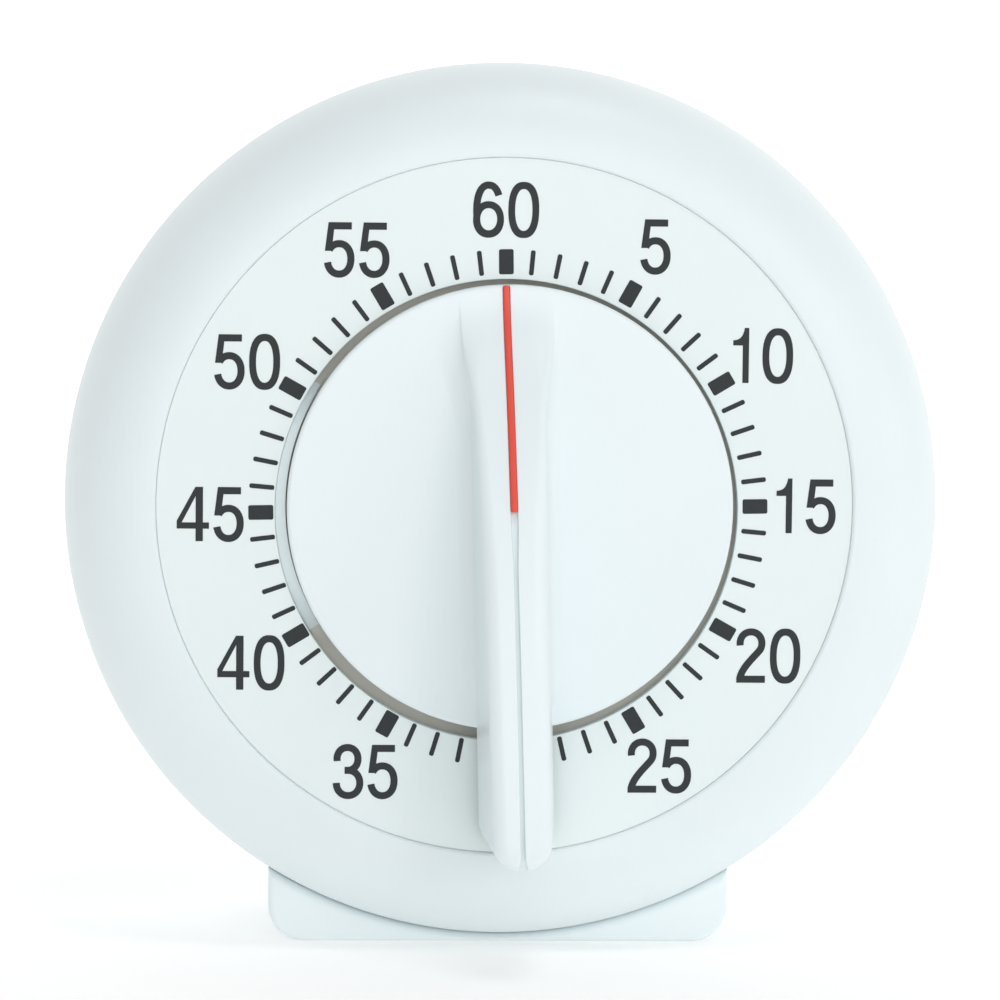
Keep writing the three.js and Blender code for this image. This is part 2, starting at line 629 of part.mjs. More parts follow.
// ---------------------------------------------------------------- pallet lever
// Two pins straddle the escape wheel; the bar behind it is the weight that sets the beat.
const toEscape = [escapeCentre[0] - PALLET_PIVOT[0], escapeCentre[1] - PALLET_PIVOT[1]];
const escapeHeading = THREE.MathUtils.radToDeg(Math.atan2(toEscape[1], toEscape[0]));
const PIN_ORBIT = 8.1; // radius of the two pins about the escape wheel's centre
const palletPins = [52, -52].map((swing) => {
  const [x, y] = polar(PIN_ORBIT, escapeHeading + 180 + swing);
  return [toEscape[0] + x, toEscape[1] + y];
});
const PALLET_LEVEL = 18.6;
const WEIGHT_LEVEL = [16.2, 17.4];
add('pallet_arbor', plainArbor(), steel, PALLET_PIVOT);
add('pallet_lever', cut(
  joined(
    ...palletPins.map((pin) => slab(link([0, 0], pin, 1.1, 4), PALLET_LEVEL - 0.4, PALLET_LEVEL + 0.4)),
    rod(0, 0, 2, PALLET_LEVEL - 0.4, PALLET_LEVEL + 1, 14),
    ...palletPins.map(([x, y]) => rod(x, y, 0.4, PALLET_LEVEL - 0.2, ESCAPE_LEVEL + 0.9, 8)),
  ),
  rod(0, 0, ARBOR_BORE, 10, 30, 12),
), steel, PALLET_PIVOT);
const weightEnds = [90, -90].map((swing) => polar(6, escapeHeading + swing));
add('pallet_weight', cut(
  joined(
    slab(link(...weightEnds, 1.2, 4), ...WEIGHT_LEVEL),
    ...weightEnds.map(([x, y]) => rod(x, y, 2, WEIGHT_LEVEL[0], WEIGHT_LEVEL[1] + 0.2, 14)),
    rod(0, 0, 2, ...WEIGHT_LEVEL, 14),
  ),
  rod(0, 0, ARBOR_BORE, 10, 30, 12),
), brass, PALLET_PIVOT);

// ---------------------------------------------------------------- striking work
const CAM_LEVEL = [24.8, 25.8];
const NOTCH = { heading: 26, width: 24, depth: 2.2 }; // degrees, degrees, millimetres
const notchFloor = CAM_RADIUS - NOTCH.depth;
const notchEnds = [NOTCH.heading + NOTCH.width / 2, NOTCH.heading - NOTCH.width / 2 + 360];
add('strike_cam', slab([
  ...arc(0, 0, CAM_RADIUS, CAM_RADIUS, ...notchEnds, 24),
  point(...polar(notchFloor, notchEnds[1])),
  point(...polar(notchFloor, NOTCH.heading)),
], ...CAM_LEVEL, [circle(0, 0, MAIN_SEAT_RADIUS + 0.08, 16)]).rotateZ(REST_TURN), brass);

const LEVER_TAIL = [21.5, -5.5]; // free end of the strike lever, beside the hammer's lifter
const feelerTip = polar(CAM_RADIUS + 1.5, NOTCH.heading);
const relative = ([x, y], [ox, oy]) => [x - ox, y - oy];
add('strike_arbor', plainArbor(), steel, STRIKE_PIVOT);
add('strike_lever', cut(
  joined(
    slab(link([0, 0], relative(feelerTip, STRIKE_PIVOT), 1.1), ...CAM_LEVEL),
    slab(link([0, 0], relative(LEVER_TAIL, STRIKE_PIVOT), 1.2), ...CAM_LEVEL),
    rod(0, 0, 2.2, CAM_LEVEL[0] - 1, CAM_LEVEL[1], 14),
  ),
  rod(0, 0, ARBOR_BORE, 10, 30, 12),
), steel, STRIKE_PIVOT);

const HAMMER_HEAD = [25.9, 3.4];
const hammerHead = relative(HAMMER_HEAD, HAMMER_PIVOT);
const HAMMER_ARM = [12.4, 13.4];
add('hammer_arbor', shaft([
  [ARBOR_RADIUS - 0.1, HAMMER_ARM[0] - 0.3, HAMMER_ARM[1] + 0.2],
  [PIVOT_RADIUS, HAMMER_ARM[1] + 0.2, PLATE_ROOM[0] + 0.15],
  [ARBOR_RADIUS, PLATE_ROOM[0] + 0.15, PLATE_ROOM[1] - 0.15],
  [PIVOT_RADIUS, PLATE_ROOM[1] - 0.15, FRONT_PLATE + PLATE_THICKNESS + OVERRUN / 2],
], 10), steel, HAMMER_PIVOT);
const HEAD_STEM = 0.9;
add('hammer_arm', cut(
  joined(
    slab(link([0, 0], hammerHead, 1.3), ...HAMMER_ARM),
    rod(0, 0, 2.3, ...HAMMER_ARM, 14),
    rod(...hammerHead, 2, ...HAMMER_ARM, 14),
  ),
  rod(0, 0, ARBOR_BORE - 0.1, 10, 30, 12),
  rod(...hammerHead, HEAD_STEM + 0.06, 10, 30, 12),
), steel, HAMMER_PIVOT);
add('hammer_head', shaft([
  [2.6, 6, 6.6], [3, 6.6, 11.4], [2.6, 11.4, 12.1], [HEAD_STEM, 12.1, 13.9],
], 14).translate(...hammerHead, 0), brass, HAMMER_PIVOT);
add('hammer_lifter', cut(
  joined(
    slab(link([0, 0], [0.6, 8.6], 1.1), ...CAM_LEVEL),
    rod(0, 0, 2.2, CAM_LEVEL[0] - 1, CAM_LEVEL[1], 14),
  ),
  rod(0, 0, ARBOR_BORE, 10, 30, 12),
), steel, HAMMER_PIVOT);

// ---------------------------------------------------------------- bell
const bellDome = (radius, base) => [
  point(BELL_HOLE_RADIUS + 0.3, base),
  point(9, base),
  ...arc(9, BELL_RIM - 1.5, radius - 9, BELL_RIM - 1.5 - base, -75, 0, 4),
  point(radius, BELL_RIM),
];
add('bell', turned([
  ...bellDome(BELL_RADIUS, BELL_BASE),
  ...bellDome(BELL_RADIUS - BELL_WALL, BELL_BASE + BELL_WALL).reverse(),
], 32), nickel, [0, 0], drawing);
const WASHER = [BELL_BASE + BELL_WALL + 0.15, BELL_BASE + BELL_WALL + 0.95];
add('bell_washer', slab(circle(0, 0, 4, 18), ...WASHER, [circle(0, 0, BELL_HOLE_RADIUS + 0.15, 12)]), fibre,
  [0, 0], drawing);
add('bell_screw', screw(2.5, 1.5, 1.25, 4.1).rotateX(Math.PI).translate(0, 0, WASHER[1] + 0.15 + 1.5), zinc,
  [0, 0], drawing);

// ---------------------------------------------------------------- stand it upright
const TOTAL_DEPTH = DISC_FRONT + FIN_HEIGHT;
drawing.rotation.x = Math.PI / 2;
drawing.position.set(0, TOTAL_DEPTH / 2, AXIS_HEIGHT);
const timer = new THREE.Group();
timer.add(drawing);

export default timer;
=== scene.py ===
"""Looks of the wind-up laboratory timer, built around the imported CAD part. Metres, +Z up, the dial faces -Y.

Shapes are drawn in a front view in millimetres: x to the right, y up, both from the middle of the case,
and z towards the person reading the dial, with z = 0 on the rear cover. place() stands a point upright.
"""
import json
import math

import bmesh
import bpy
from mathutils import Matrix, Quaternion, Vector


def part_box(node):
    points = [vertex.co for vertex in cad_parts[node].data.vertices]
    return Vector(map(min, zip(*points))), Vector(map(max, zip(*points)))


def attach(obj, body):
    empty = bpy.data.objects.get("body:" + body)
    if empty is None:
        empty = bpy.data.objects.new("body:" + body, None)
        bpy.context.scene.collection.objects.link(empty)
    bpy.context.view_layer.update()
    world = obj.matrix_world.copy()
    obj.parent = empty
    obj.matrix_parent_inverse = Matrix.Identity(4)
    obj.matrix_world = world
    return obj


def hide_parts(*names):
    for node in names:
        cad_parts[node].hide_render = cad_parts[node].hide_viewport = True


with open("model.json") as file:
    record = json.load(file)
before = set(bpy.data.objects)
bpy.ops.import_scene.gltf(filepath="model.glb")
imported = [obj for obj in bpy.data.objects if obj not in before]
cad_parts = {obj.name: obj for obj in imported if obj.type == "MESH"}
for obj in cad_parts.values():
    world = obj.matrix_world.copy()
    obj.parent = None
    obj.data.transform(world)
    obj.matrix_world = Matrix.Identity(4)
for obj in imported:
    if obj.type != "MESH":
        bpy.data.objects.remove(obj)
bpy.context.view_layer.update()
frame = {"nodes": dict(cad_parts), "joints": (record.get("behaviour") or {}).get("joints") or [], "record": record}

MM = 0.001
KNOB_JOINT = next(j for j in frame["joints"] if j["name"] == "knob_turn")
AXIS_X = KNOB_JOINT["pos_m"][0] / MM
AXIS_HEIGHT = KNOB_JOINT["pos_m"][2]
REAR_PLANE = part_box("rear_housing")[1].y


def place(x, y, z):
    """A point of the front view, in the world."""
    return Vector((x * MM, REAR_PLANE - z * MM, AXIS_HEIGHT + y * MM))


# ---------------------------------------------------------------- dimensions, in millimetres
CASE_RADIUS = 50
PARTING = 25  # where the front housing meets the rear one
CASE_FRONT = 36
LIP_RADIUS = 39.15
LIP_ROUNDING = 0.42
SEAT = 34  # the dial plate rests in front of this face
WALL = 2
SIDES = 160

DIAL_RADIUS = 39.14
DIAL_HOLE_RADIUS = 26.0
DIAL_HOLE_CENTRE = (AXIS_X - 0.34, -0.42)
PRINT_CENTRE = (AXIS_X - 0.15, -0.25)
DIAL_BACK, DIAL_FRONT = 34.4, 35.7
PRINT_BACK, PRINT_FRONT = 35.64, 35.73
TICK_ROLL, NUMBER_ROLL = math.radians(1.1), math.radians(1.3)

DISC_RADIUS = 25.0
DISC_FRONT = 37.6
DISC_SKIN = 1.8
DISC_BACK = 34.4
DISC_WALL = 1.6
FIN_HALF = 4.35
FIN_DRAFT = 0.067
FIN_REACH = 38.6  # from the knob's axis to the fin's tip
FIN_TIP = 3.2  # length of the rounding that ends the fin, seen from the front
FIN_UNDERSIDE = 36.9
FIN_FILLET = 1.8
FIN_CROWN = 1.75
KNOB_TURN = math.radians(1.7)
STRIP_HALF = 0.375
GROOVE_HALF = 0.4
GROOVE_DEPTH = 0.55
GROOVE_NARROWING = 0.42  # share of its width that the groove loses below the red strip
GROOVE_FLARE = 0.65  # share that it gains where it opens at the tip
HUB_RADIUS = 3.8
HUB_BACK = 29.3
HUB_HOLE = HUB_RADIUS + 0.6
BORE_RADIUS = 2.0
BORE_FLAT = 1.4  # the bore is D-shaped

FOOT_HALF = 26.5
FOOT_BOTTOM = -AXIS_HEIGHT / MM
FOOT_CORNER = 4.1
FOOT_FRONT = 27
FOOT_BACK = 1
FOOT_TOP = -38
FOOT_EDGE = 0.7
NEST_RADIUS = 50.03  # the front of the foot is hollowed to this radius, so that the bezel sits in it
NEST_ROUNDING = 1.1
CASE_SCREWS = [(41.5, 90), (41.5, 210), (41.5, 330)]  # (radius, angle)
MOVEMENT_SCREWS = [(31, 100), (31, 220), (31, 340)]


# ---------------------------------------------------------------- outlines
def polar(radius, degrees):
    return radius * math.cos(math.radians(degrees)), radius * math.sin(math.radians(degrees))


def arc(cx, cy, rx, ry, start, end, steps):
    """Points on part of an ellipse, from one angle to another in degrees, both ends included."""
    angles = [math.radians(start + (end - start) * i / steps) for i in range(steps + 1)]
    return [(cx + rx * math.cos(a), cy + ry * math.sin(a)) for a in angles]


def smoothstep(t):
    t = max(0.0, min(1.0, t))
    return t * t * (3 - 2 * t)


def rounded_corner(before, corner, after, radius, steps=4):
    """Points of an arc that rounds the corner between two straight edges."""
    before, corner, after = Vector(before), Vector(corner), Vector(after)
    one, two = (before - corner).normalized(), (after - corner).normalized()
    half = one.angle(two) / 2
    centre = corner + (one + two).normalized() * (radius / math.sin(half))
    setback = radius / math.tan(half)
    start, end = corner + one * setback - centre, corner + two * setback - centre
    total = start.angle(end)
    points = []
    for i in range(steps + 1):
        t = i / steps
        mixed = (start * math.sin((1 - t) * total) + end * math.sin(t * total)) / math.sin(total)
        points.append(tuple(centre + mixed))
    return points


def softened(outline, radii, steps=4):
    """A closed outline whose corner number k is rounded by radii[k]; the others stay."""
    points = []
    for k, corner in enumerate(outline):
        if radii.get(k):
            points += rounded_corner(outline[k - 1], corner, outline[(k + 1) % len(outline)], radii[k], steps)
        else:
            points.append(corner)
    return points


def circle(cx, cy, radius, sides):
    turns = [2 * math.pi * i / sides for i in range(sides)]
    return [(cx + radius * math.cos(a), cy + radius * math.sin(a)) for a in turns]


def link(a, b, radius, steps=10):
    """A bar with round ends between two points."""
    heading = math.degrees(math.atan2(b[1] - a[1], b[0] - a[0]))
    return (arc(*b, radius, radius, heading - 90, heading + 90, steps)
            + arc(*a, radius, radius, heading + 90, heading + 270, steps))


# ---------------------------------------------------------------- meshes
def mesh_object(name, points, faces):
    mesh = bpy.data.meshes.new(name)
    mesh.from_pydata([place(*p) for p in points], [], faces)
    bm = bmesh.new()
    bm.from_mesh(mesh)
    bmesh.ops.remove_doubles(bm, verts=bm.verts, dist=2e-7)
    bmesh.ops.recalc_face_normals(bm, faces=bm.faces)
    bm.to_mesh(mesh)
    bm.free()
    made = bpy.data.objects.new(name, mesh)
    bpy.context.scene.collection.objects.link(made)
    return made


def loft(name, sections, closed=False):
    """A skin over sections of equally many points, with a face at each end unless it closes on itself."""
    count = len(sections[0])
    points = [p for s in sections for p in s]
    faces = []
    for i in range(len(sections) if closed else len(sections) - 1):
        a, b = i * count, (i + 1) % len(sections) * count
        faces += [(a + j, a + (j + 1) % count, b + (j + 1) % count, b + j) for j in range(count)]
    if not closed:
        faces += [tuple(range(count))[::-1], tuple(range(len(points) - count, len(points)))]
    return mesh_object(name, points, faces)


def lathe(name, outline, cx=0, cy=0, sides=SIDES):
    """A closed outline of (radius, z) turned about an axis along z."""
    turns = [2 * math.pi * i / sides for i in range(sides)]
    sections = [[(cx + r * math.cos(a), cy + r * math.sin(a), z) for r, z in outline] for a in turns]
    return loft(name, sections, closed=True)


def prism(name, outline, low, high):
    """An outline in the front view, drawn through from one z to another."""
    return loft(name, [[(x, y, z) for x, y in outline] for z in (low, high)])


def rod(cx, cy, radius, low, high, sides=32):
    return prism("rod", circle(cx, cy, radius, sides), low, high)


def box(x0, x1, y0, y1, z0, z1):
    return prism("box", [(x0, y0), (x1, y0), (x1, y1), (x0, y1)], z0, z1)


def bake(obj):
    """Turns the result of an object's modifiers into its mesh."""
    mesh = bpy.data.meshes.new_from_object(obj.evaluated_get(bpy.context.evaluated_depsgraph_get()))
    obj.modifiers.clear()
    old, obj.data = obj.data, mesh
    bpy.data.meshes.remove(old)
    mesh.name = obj.name
    return obj


def combine(operation, base, *tools):
    for tool in tools:
        modifier = base.modifiers.new("shape", "BOOLEAN")
        modifier.operation, modifier.solver, modifier.object = operation, "MANIFOLD", tool
    bake(base)
    for tool in tools:
        bpy.data.meshes.remove(tool.data)
    return base


def joined(base, *tools):
    return combine("UNION", base, *tools)


def cut(base, *tools):
    return combine("DIFFERENCE", base, *tools)


def common(base, *tools):
    return combine("INTERSECT", base, *tools)


def shade(obj, angle=30):
    """Smooth faces that break at sharp edges."""
    bm = bmesh.new()
    bm.from_mesh(obj.data)
    limit = math.radians(angle)
    for face in bm.faces:
        face.smooth = True
    for edge in bm.edges:
        edge.smooth = len(edge.link_faces) == 2 and edge.calc_face_angle(math.pi) < limit
    bm.to_mesh(obj.data)
    bm.free()
    weighted = obj.modifiers.new("normals", "WEIGHTED_NORMAL")
    weighted.keep_sharp = True
    return obj


# ---------------------------------------------------------------- materials
class Look:
    """A Principled material with helpers for the noise that drives its colour, roughness and bump."""

    def __init__(self, name, **sockets):
        self.material = bpy.data.materials.new(name)
        self.material.use_nodes = True
        self.tree = self.material.node_tree
        self.shader = self.tree.nodes["Principled BSDF"]
        self.coords = self.tree.nodes.new("ShaderNodeTexCoord").outputs["Object"]
        for key, value in sockets.items():
            self.shader.inputs[key.replace("_", " ")].default_value = value

    def node(self, kind, inputs):
        """A new node whose inputs are linked where a socket is given, and set where a value is."""
        made = self.tree.nodes.new(kind)
        for key, value in inputs.items():
            if isinstance(value, bpy.types.NodeSocket):
                self.tree.links.new(value, made.inputs[key])
            else:
                made.inputs[key].default_value = value
        return made

    def noise(self, scale, detail, stretch=(1, 1, 1)):
        where = self.node("ShaderNodeMapping", {"Vector": self.coords, "Scale": stretch}).outputs["Vector"]
        inputs = {"Vector": where, "Scale": scale, "Detail": detail, "Roughness": 0.5}
        return self.node("ShaderNodeTexNoise", inputs).outputs["Fac"]

    def between(self, factor, low, high, floor=0.3, ceiling=0.7):
        """Maps floor..ceiling of a factor to low..high."""
        inputs = {"Value": factor, "From Min": floor, "From Max": ceiling, "To Min": low, "To Max": high}
        return self.node("ShaderNodeMapRange", inputs).outputs["Result"]

    def tint(self, factor, dark, light):
        ramp = self.node("ShaderNodeValToRGB", {"Fac": factor})
        first, last = ramp.color_ramp.elements
        first.position, last.position = 0.3, 0.7
        first.color, last.color = (*dark, 1), (*light, 1)
        self.tree.links.new(ramp.outputs["Color"], self.shader.inputs["Base Color"])

    def vary_roughness(self, factor, low, high):
        self.tree.links.new(self.between(factor, low, high), self.shader.inputs["Roughness"])

    def bump(self, height, depth, strength=1.0, normal=None):
        inputs = {"Height": height, "Distance": depth * MM, "Strength": strength}
        if normal:
            inputs["Normal"] = normal
        made = self.node("ShaderNodeBump", inputs).outputs["Normal"]
        self.tree.links.new(made, self.shader.inputs["Normal"])
        return made


def moulded_plastic(name, tone, roughness, grain, unevenness=0.05):
    """Faintly clouded and wavy, with a fine grain of a depth in millimetres."""
    look = Look(name, IOR=1.5)
    cloud = look.noise(60, 3)
    look.tint(cloud, [c * 0.985 for c in tone], tone)
    fine = look.noise(4200, 2)
    look.vary_roughness(fine, roughness - unevenness, roughness + 1.2 * unevenness)
    wave = look.bump(look.noise(90, 2), 0.02, 0.5)
    look.bump(fine, grain, 1.0, wave)
    return look.material


def ink(name, tone):
    look = Look(name, IOR=1.45)
    speck = look.noise(2600, 3)
    look.tint(speck, [c * 0.85 for c in tone], [c * 1.2 for c in tone])
    look.vary_roughness(speck, 0.5, 0.62)
    look.bump(speck, 0.004)
    return look.material


def metal(name, tone, roughness, stretch, scale=1500, contrast=0.08, scratch=0.004):
    """Streaked metal; the noise is drawn out along the axes whose stretch is small."""
    look = Look(name, Metallic=1.0)
    streaks = look.noise(scale, 4, stretch)
    look.tint(streaks, [c * (1 - contrast) for c in tone], [min(1, c * (1 + contrast)) for c in tone])
    look.vary_roughness(look.noise(scale * 0.3, 3, stretch), roughness * 0.8, roughness * 1.25)
    look.bump(streaks, scratch)
    return look.material


white_shell = moulded_plastic("white_moulded_shell", (0.79, 0.865, 0.88), 0.4, 0.012)
# the same white plastic as the shell, painted lighter: painted light on the rear cover and its foot
painted_light_cover = moulded_plastic("white_moulded_cover_painted_lighter", (0.85, 0.93, 0.945), 0.42, 0.012)
# a darker, warmer white for the floor of the channel round the knob: painted shade standing for the shade in that
# recess
painted_shade_seat = moulded_plastic("painted_shade_seat", (0.66, 0.645, 0.58), 0.6, 0.02)
white_dial = moulded_plastic("white_printed_dial", (0.8, 0.875, 0.875), 0.45, 0.008)
white_knob = moulded_plastic("white_moulded_knob", (0.805, 0.88, 0.9), 0.33, 0.0005, 0.01)
dark_ink = ink("blue_grey_ink", (0.0155, 0.021, 0.0235))
red_strip = moulded_plastic("red_strip", (0.78, 0.075, 0.048), 0.42, 0.004)
ALONG_AXIS, ACROSS_SHEET, ROUND_TURNED = (1, 0.06, 1), (0.05, 1, 1), (1, 14, 1)
METALS = {
    "spring_steel": metal("blued_spring_steel", (0.2, 0.21, 0.25), 0.3, ALONG_AXIS),
    "screws": metal("zinc_plated_screws", (0.66, 0.67, 0.69), 0.36, ROUND_TURNED, 900),
    "plates": metal("zinc_plated_sheet", (0.6, 0.61, 0.62), 0.38, ACROSS_SHEET, 2200),
    "steel": metal("turned_steel", (0.52, 0.53, 0.55), 0.28, ROUND_TURNED, 1200),
    "brass": metal("stamped_brass", (0.68, 0.47, 0.16), 0.34, (1, 1, 0.2), 1800),
    "bell": metal("nickel_plated_bell", (0.7, 0.69, 0.67), 0.2, (1, 1, 1), 500, 0.04, 0.002),
}
fibre = Look("red_vulcanised_fibre")
fibre_fleck = fibre.noise(1400, 5, (1, 0.3, 1))
fibre.tint(fibre_fleck, (0.13, 0.03, 0.018), (0.24, 0.07, 0.04))
fibre.vary_roughness(fibre_fleck, 0.7, 0.85)
fibre.bump(fibre_fleck, 0.02)


def finish_piece(obj, name, body, slot, look, *stands_for):
    """Names a piece, gives it its material and ties it to the CAD model."""
    obj.name = obj.data.name = name
    obj.data.materials.clear()
    obj.data.materials.append(look)
    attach(obj, body)
    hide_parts(*stands_for)
    return obj


# ---------------------------------------------------------------- front housing
DOME_START = PARTING + 0.5
CREST_RADIUS = 39.65  # where the bezel's curve is highest
RIM_INNER, RIM_ROUNDING = 47.6, 0.45
VAULT_START, VAULT_REACH, VAULT_RISE = 38, 10.2, 0.6  # the hollow behind the bezel's curve
CHANNEL_INNER, CHANNEL_OUTER, CHANNEL_DEPTH = 23.2, 27.6, 0.3  # recess under the gap round the knob
WALL_BACK = SEAT - WALL
bezel = (
    softened([(RIM_INNER, PARTING), (CASE_RADIUS, PARTING), (CASE_RADIUS, DOME_START)], {1: RIM_ROUNDING})[1:]
    + arc(CREST_RADIUS, DOME_START, CASE_RADIUS - CREST_RADIUS, CASE_FRONT - DOME_START, 0, 90, 44)[1:]
    + rounded_corner((CREST_RADIUS, CASE_FRONT), (LIP_RADIUS, CASE_FRONT), (LIP_RADIUS, SEAT), LIP_ROUNDING)
    + [(LIP_RADIUS, SEAT), (HUB_HOLE + 1, SEAT), (HUB_HOLE + 1, WALL_BACK)]
    + arc(VAULT_START, DOME_START, VAULT_REACH, WALL_BACK + VAULT_RISE - DOME_START, 90, 0, 20)
    + [(CASE_RADIUS - WALL + 0.2, PARTING)]
)
front = lathe("front", bezel)
case_spots = [polar(*screw) for screw in CASE_SCREWS]
movement_spots = [(AXIS_X + x, y) for x, y in (polar(*screw) for screw in MOVEMENT_SCREWS)]
BOSS_RADIUS, BOSS_BACK, BOSS_HOLE = 2.8, 28.5, 1.2  # for the movement's screws
POST_OUTER, POST_BACK, POST_HOLE = 3, 12.3, 1.45  # for the case screws
COLLAR_WALL = 2.4
movement_bosses = [rod(x, y, BOSS_RADIUS, BOSS_BACK, WALL_BACK + 0.5, 40) for x, y in movement_spots]
case_bosses = [rod(x, y, POST_OUTER, POST_BACK, WALL_BACK + 0.8, 40) for x, y in case_spots]
collar = cut(rod(AXIS_X, 0, HUB_HOLE + COLLAR_WALL, WALL_BACK, SEAT, 64),
             rod(AXIS_X, 0, HUB_HOLE, WALL_BACK - 1, SEAT + 1, 64))
front = joined(front, collar, *movement_bosses, *case_bosses)
CHANNEL_FLOOR = SEAT - CHANNEL_DEPTH
channel = [(CHANNEL_INNER, CHANNEL_FLOOR), (CHANNEL_OUTER, CHANNEL_FLOOR),
           (CHANNEL_OUTER, SEAT + 1), (CHANNEL_INNER, SEAT + 1)]
front = cut(
    front,
    rod(AXIS_X, 0, HUB_HOLE, WALL_BACK - 1, SEAT + 1, 64),
    lathe("channel", channel, AXIS_X),
    *[rod(x, y, BOSS_HOLE, BOSS_BACK - 1.5, WALL_BACK + 0.4, 24) for x, y in movement_spots],
    *[rod(x, y, POST_HOLE, 0, 23, 24) for x, y in case_spots],
)


# a ledge in the channel, in the left of the gap: it rises to LEDGE_TOP and runs out at both ends
LEDGE_TOP, LEDGE_RADIUS, LEDGE_SPREAD, LEDGE_RISE = 35.25, 25.17, 38, 22
LEDGE_FOOT, LEDGE_END = SEAT - 0.8, SEAT - 0.35
HOLE_SHIFT, HOLE_ANGLE = math.hypot(DIAL_HOLE_CENTRE[0] - AXIS_X, DIAL_HOLE_CENTRE[1]), math.radians(231)
LEDGE_CLEARANCE = 0.03  # to the edge of the dial's hole


def ledge_section(angle):
    """The ledge's cross-section at an angle in degrees: it reaches out to the edge of the dial's hole."""
    rise = smoothstep((LEDGE_SPREAD - abs(angle - 180)) / LEDGE_RISE)
    top = LEDGE_END + (LEDGE_TOP - LEDGE_END) * rise
    off = math.radians(angle) - HOLE_ANGLE
    edge = HOLE_SHIFT * math.cos(off) + math.sqrt(DIAL_HOLE_RADIUS ** 2 - (HOLE_SHIFT * math.sin(off)) ** 2)
    edge -= LEDGE_CLEARANCE
    outline = [(LEDGE_RADIUS, LEDGE_FOOT), (edge, LEDGE_FOOT), (edge, top), (LEDGE_RADIUS + 0.1, top),
               (LEDGE_RADIUS, top - 0.05)]
    return [(AXIS_X + polar(r, angle)[0], polar(r, angle)[1], z) for r, z in outline]


ledge = loft("ledge", [ledge_section(180 + LEDGE_SPREAD * (step / 20 - 1)) for step in range(41)])
front = joined(front, ledge)
front = finish_piece(shade(front), "bezel_housing", "case", "shell", white_shell, "front_housing")
# the faces of the channel round the knob get the second material, the painted shade
front.data.materials.append(painted_shade_seat)
channel_middle = place(AXIS_X, 0, SEAT)
for face in front.data.polygons:
    offset = face.center - channel_middle
    radius, depth = math.hypot(offset.x, offset.z) / MM, offset.y / MM
    if CHANNEL_INNER - 0.1 < radius < CHANNEL_OUTER + 0.1 and 0.01 < depth < CHANNEL_DEPTH + 0.1:
        face.material_index = 1

# ---------------------------------------------------------------- rear housing with its foot
DRUM_FRONT = PARTING - 0.3
DRUM_REAR_RADIUS, DRUM_FRONT_RADIUS = 48.5, 49.6
SPIGOT_RADIUS, SPIGOT_ROOM, SPIGOT_FRONT = 47.5, 46, PARTING + 2.2  # thin rim that enters the front housing
drum = softened(
    [(0, 0), (DRUM_REAR_RADIUS, 0), (DRUM_FRONT_RADIUS, DRUM_FRONT), (SPIGOT_RADIUS, DRUM_FRONT),
     (SPIGOT_RADIUS, SPIGOT_FRONT), (0, SPIGOT_FRONT)],
    {1: 3.8, 2: 0.22, 3: 0.2}, 8,
)
hollow = softened(
    [(0, WALL), (46.4, WALL), (47.2, 21.5), (SPIGOT_ROOM, 22.7),
     (SPIGOT_ROOM, PARTING + 4), (0, PARTING + 4)],
    {1: 2.2}, 6,
)


def foot_outline(half, bottom, top, corner, inset):
    """The rounded foot, drawn in by inset all round except at the top, which is inside the drum."""
    steps = 12
    corner = max(corner - inset, 0.4)
    half, bottom = half - inset, bottom + inset
    return ([(half, top), (-half, top)]
            + arc(-half + corner, bottom + corner, corner, corner, 180, 270, steps)
            + arc(half - corner, bottom + corner, corner, corner, 270, 360, steps))


def foot_block(half, bottom, top, corner, low, high, edge, steps=6):
    """The foot's outline drawn through, with its front and rear edges rounded."""
    turns = [math.pi / 2 * i / steps for i in range(steps + 1)]
    levels = [(edge * (1 - math.sin(a)), low + edge * (1 - math.cos(a))) for a in turns]
    levels += [(inset, high + low - z) for inset, z in reversed(levels)]
    return loft("foot", [[(x, y, z) for x, y in foot_outline(half, bottom, top, corner, inset)]
                         for inset, z in levels])


nest = [(0, DRUM_FRONT), (NEST_RADIUS, DRUM_FRONT)]
for step in range(9):
    turn = math.pi / 2 * step / 8
    nest.append((NEST_RADIUS + NEST_ROUNDING * (1 - math.cos(turn)),
                 FOOT_FRONT - NEST_ROUNDING * (1 - math.sin(turn))))
nest += [(NEST_RADIUS + NEST_ROUNDING, FOOT_FRONT + 1), (0, FOOT_FRONT + 1)]
foot = cut(foot_block(FOOT_HALF, FOOT_BOTTOM, FOOT_TOP, FOOT_CORNER, FOOT_BACK, FOOT_FRONT, FOOT_EDGE),
           lathe("nest", nest))
foot_room = foot_block(FOOT_HALF - WALL, FOOT_BOTTOM + WALL, FOOT_TOP + 1, FOOT_CORNER - 1,
                       FOOT_BACK + WALL, DRUM_FRONT - WALL, 0.3, 2)
rear = joined(lathe("rear", drum), foot)
rear = cut(rear, lathe("hollow", hollow), foot_room)
BELL_POST_FRONT, SCREW_POST_FRONT, REAR_POST, BELL_SCREW_HOLE = 3.1, 12, 4, 1.35
rear = joined(rear, rod(0, 0, REAR_POST, WALL - 0.5, BELL_POST_FRONT, 40),
              *[rod(x, y, REAR_POST, WALL - 0.5, SCREW_POST_FRONT, 40) for x, y in case_spots])
SLOT_INNER, SLOT_OUTER, SLOT_HALF, SLOT_EDGE = 12, 23, 1.2, 0.35


def sound_slot(angle):
    """A radial slot through the rear wall, flared at the outside."""
    a, b = polar(SLOT_INNER, angle), polar(SLOT_OUTER, angle)
    widths = [(SLOT_HALF + SLOT_EDGE + 0.6, -0.6), (SLOT_HALF + SLOT_EDGE, 0),
              (SLOT_HALF + SLOT_EDGE * 0.3, SLOT_EDGE * 0.3), (SLOT_HALF, SLOT_EDGE), (SLOT_HALF, WALL + 1)]
    return loft("slot", [[(x, y, z) for x, y in link(a, b, w)] for w, z in widths])


def screw_well(x, y):
    """Where a case screw goes in from behind: room for its head, then a hole for its shank."""
    outline = [(0, -1), (4.3, -1), (3.35, 0), (3.1, 0.1), (3, 0.35), (3, 7), (1.7, 7), (1.7, 13), (0, 13)]
    return lathe("well", outline, x, y, 48)


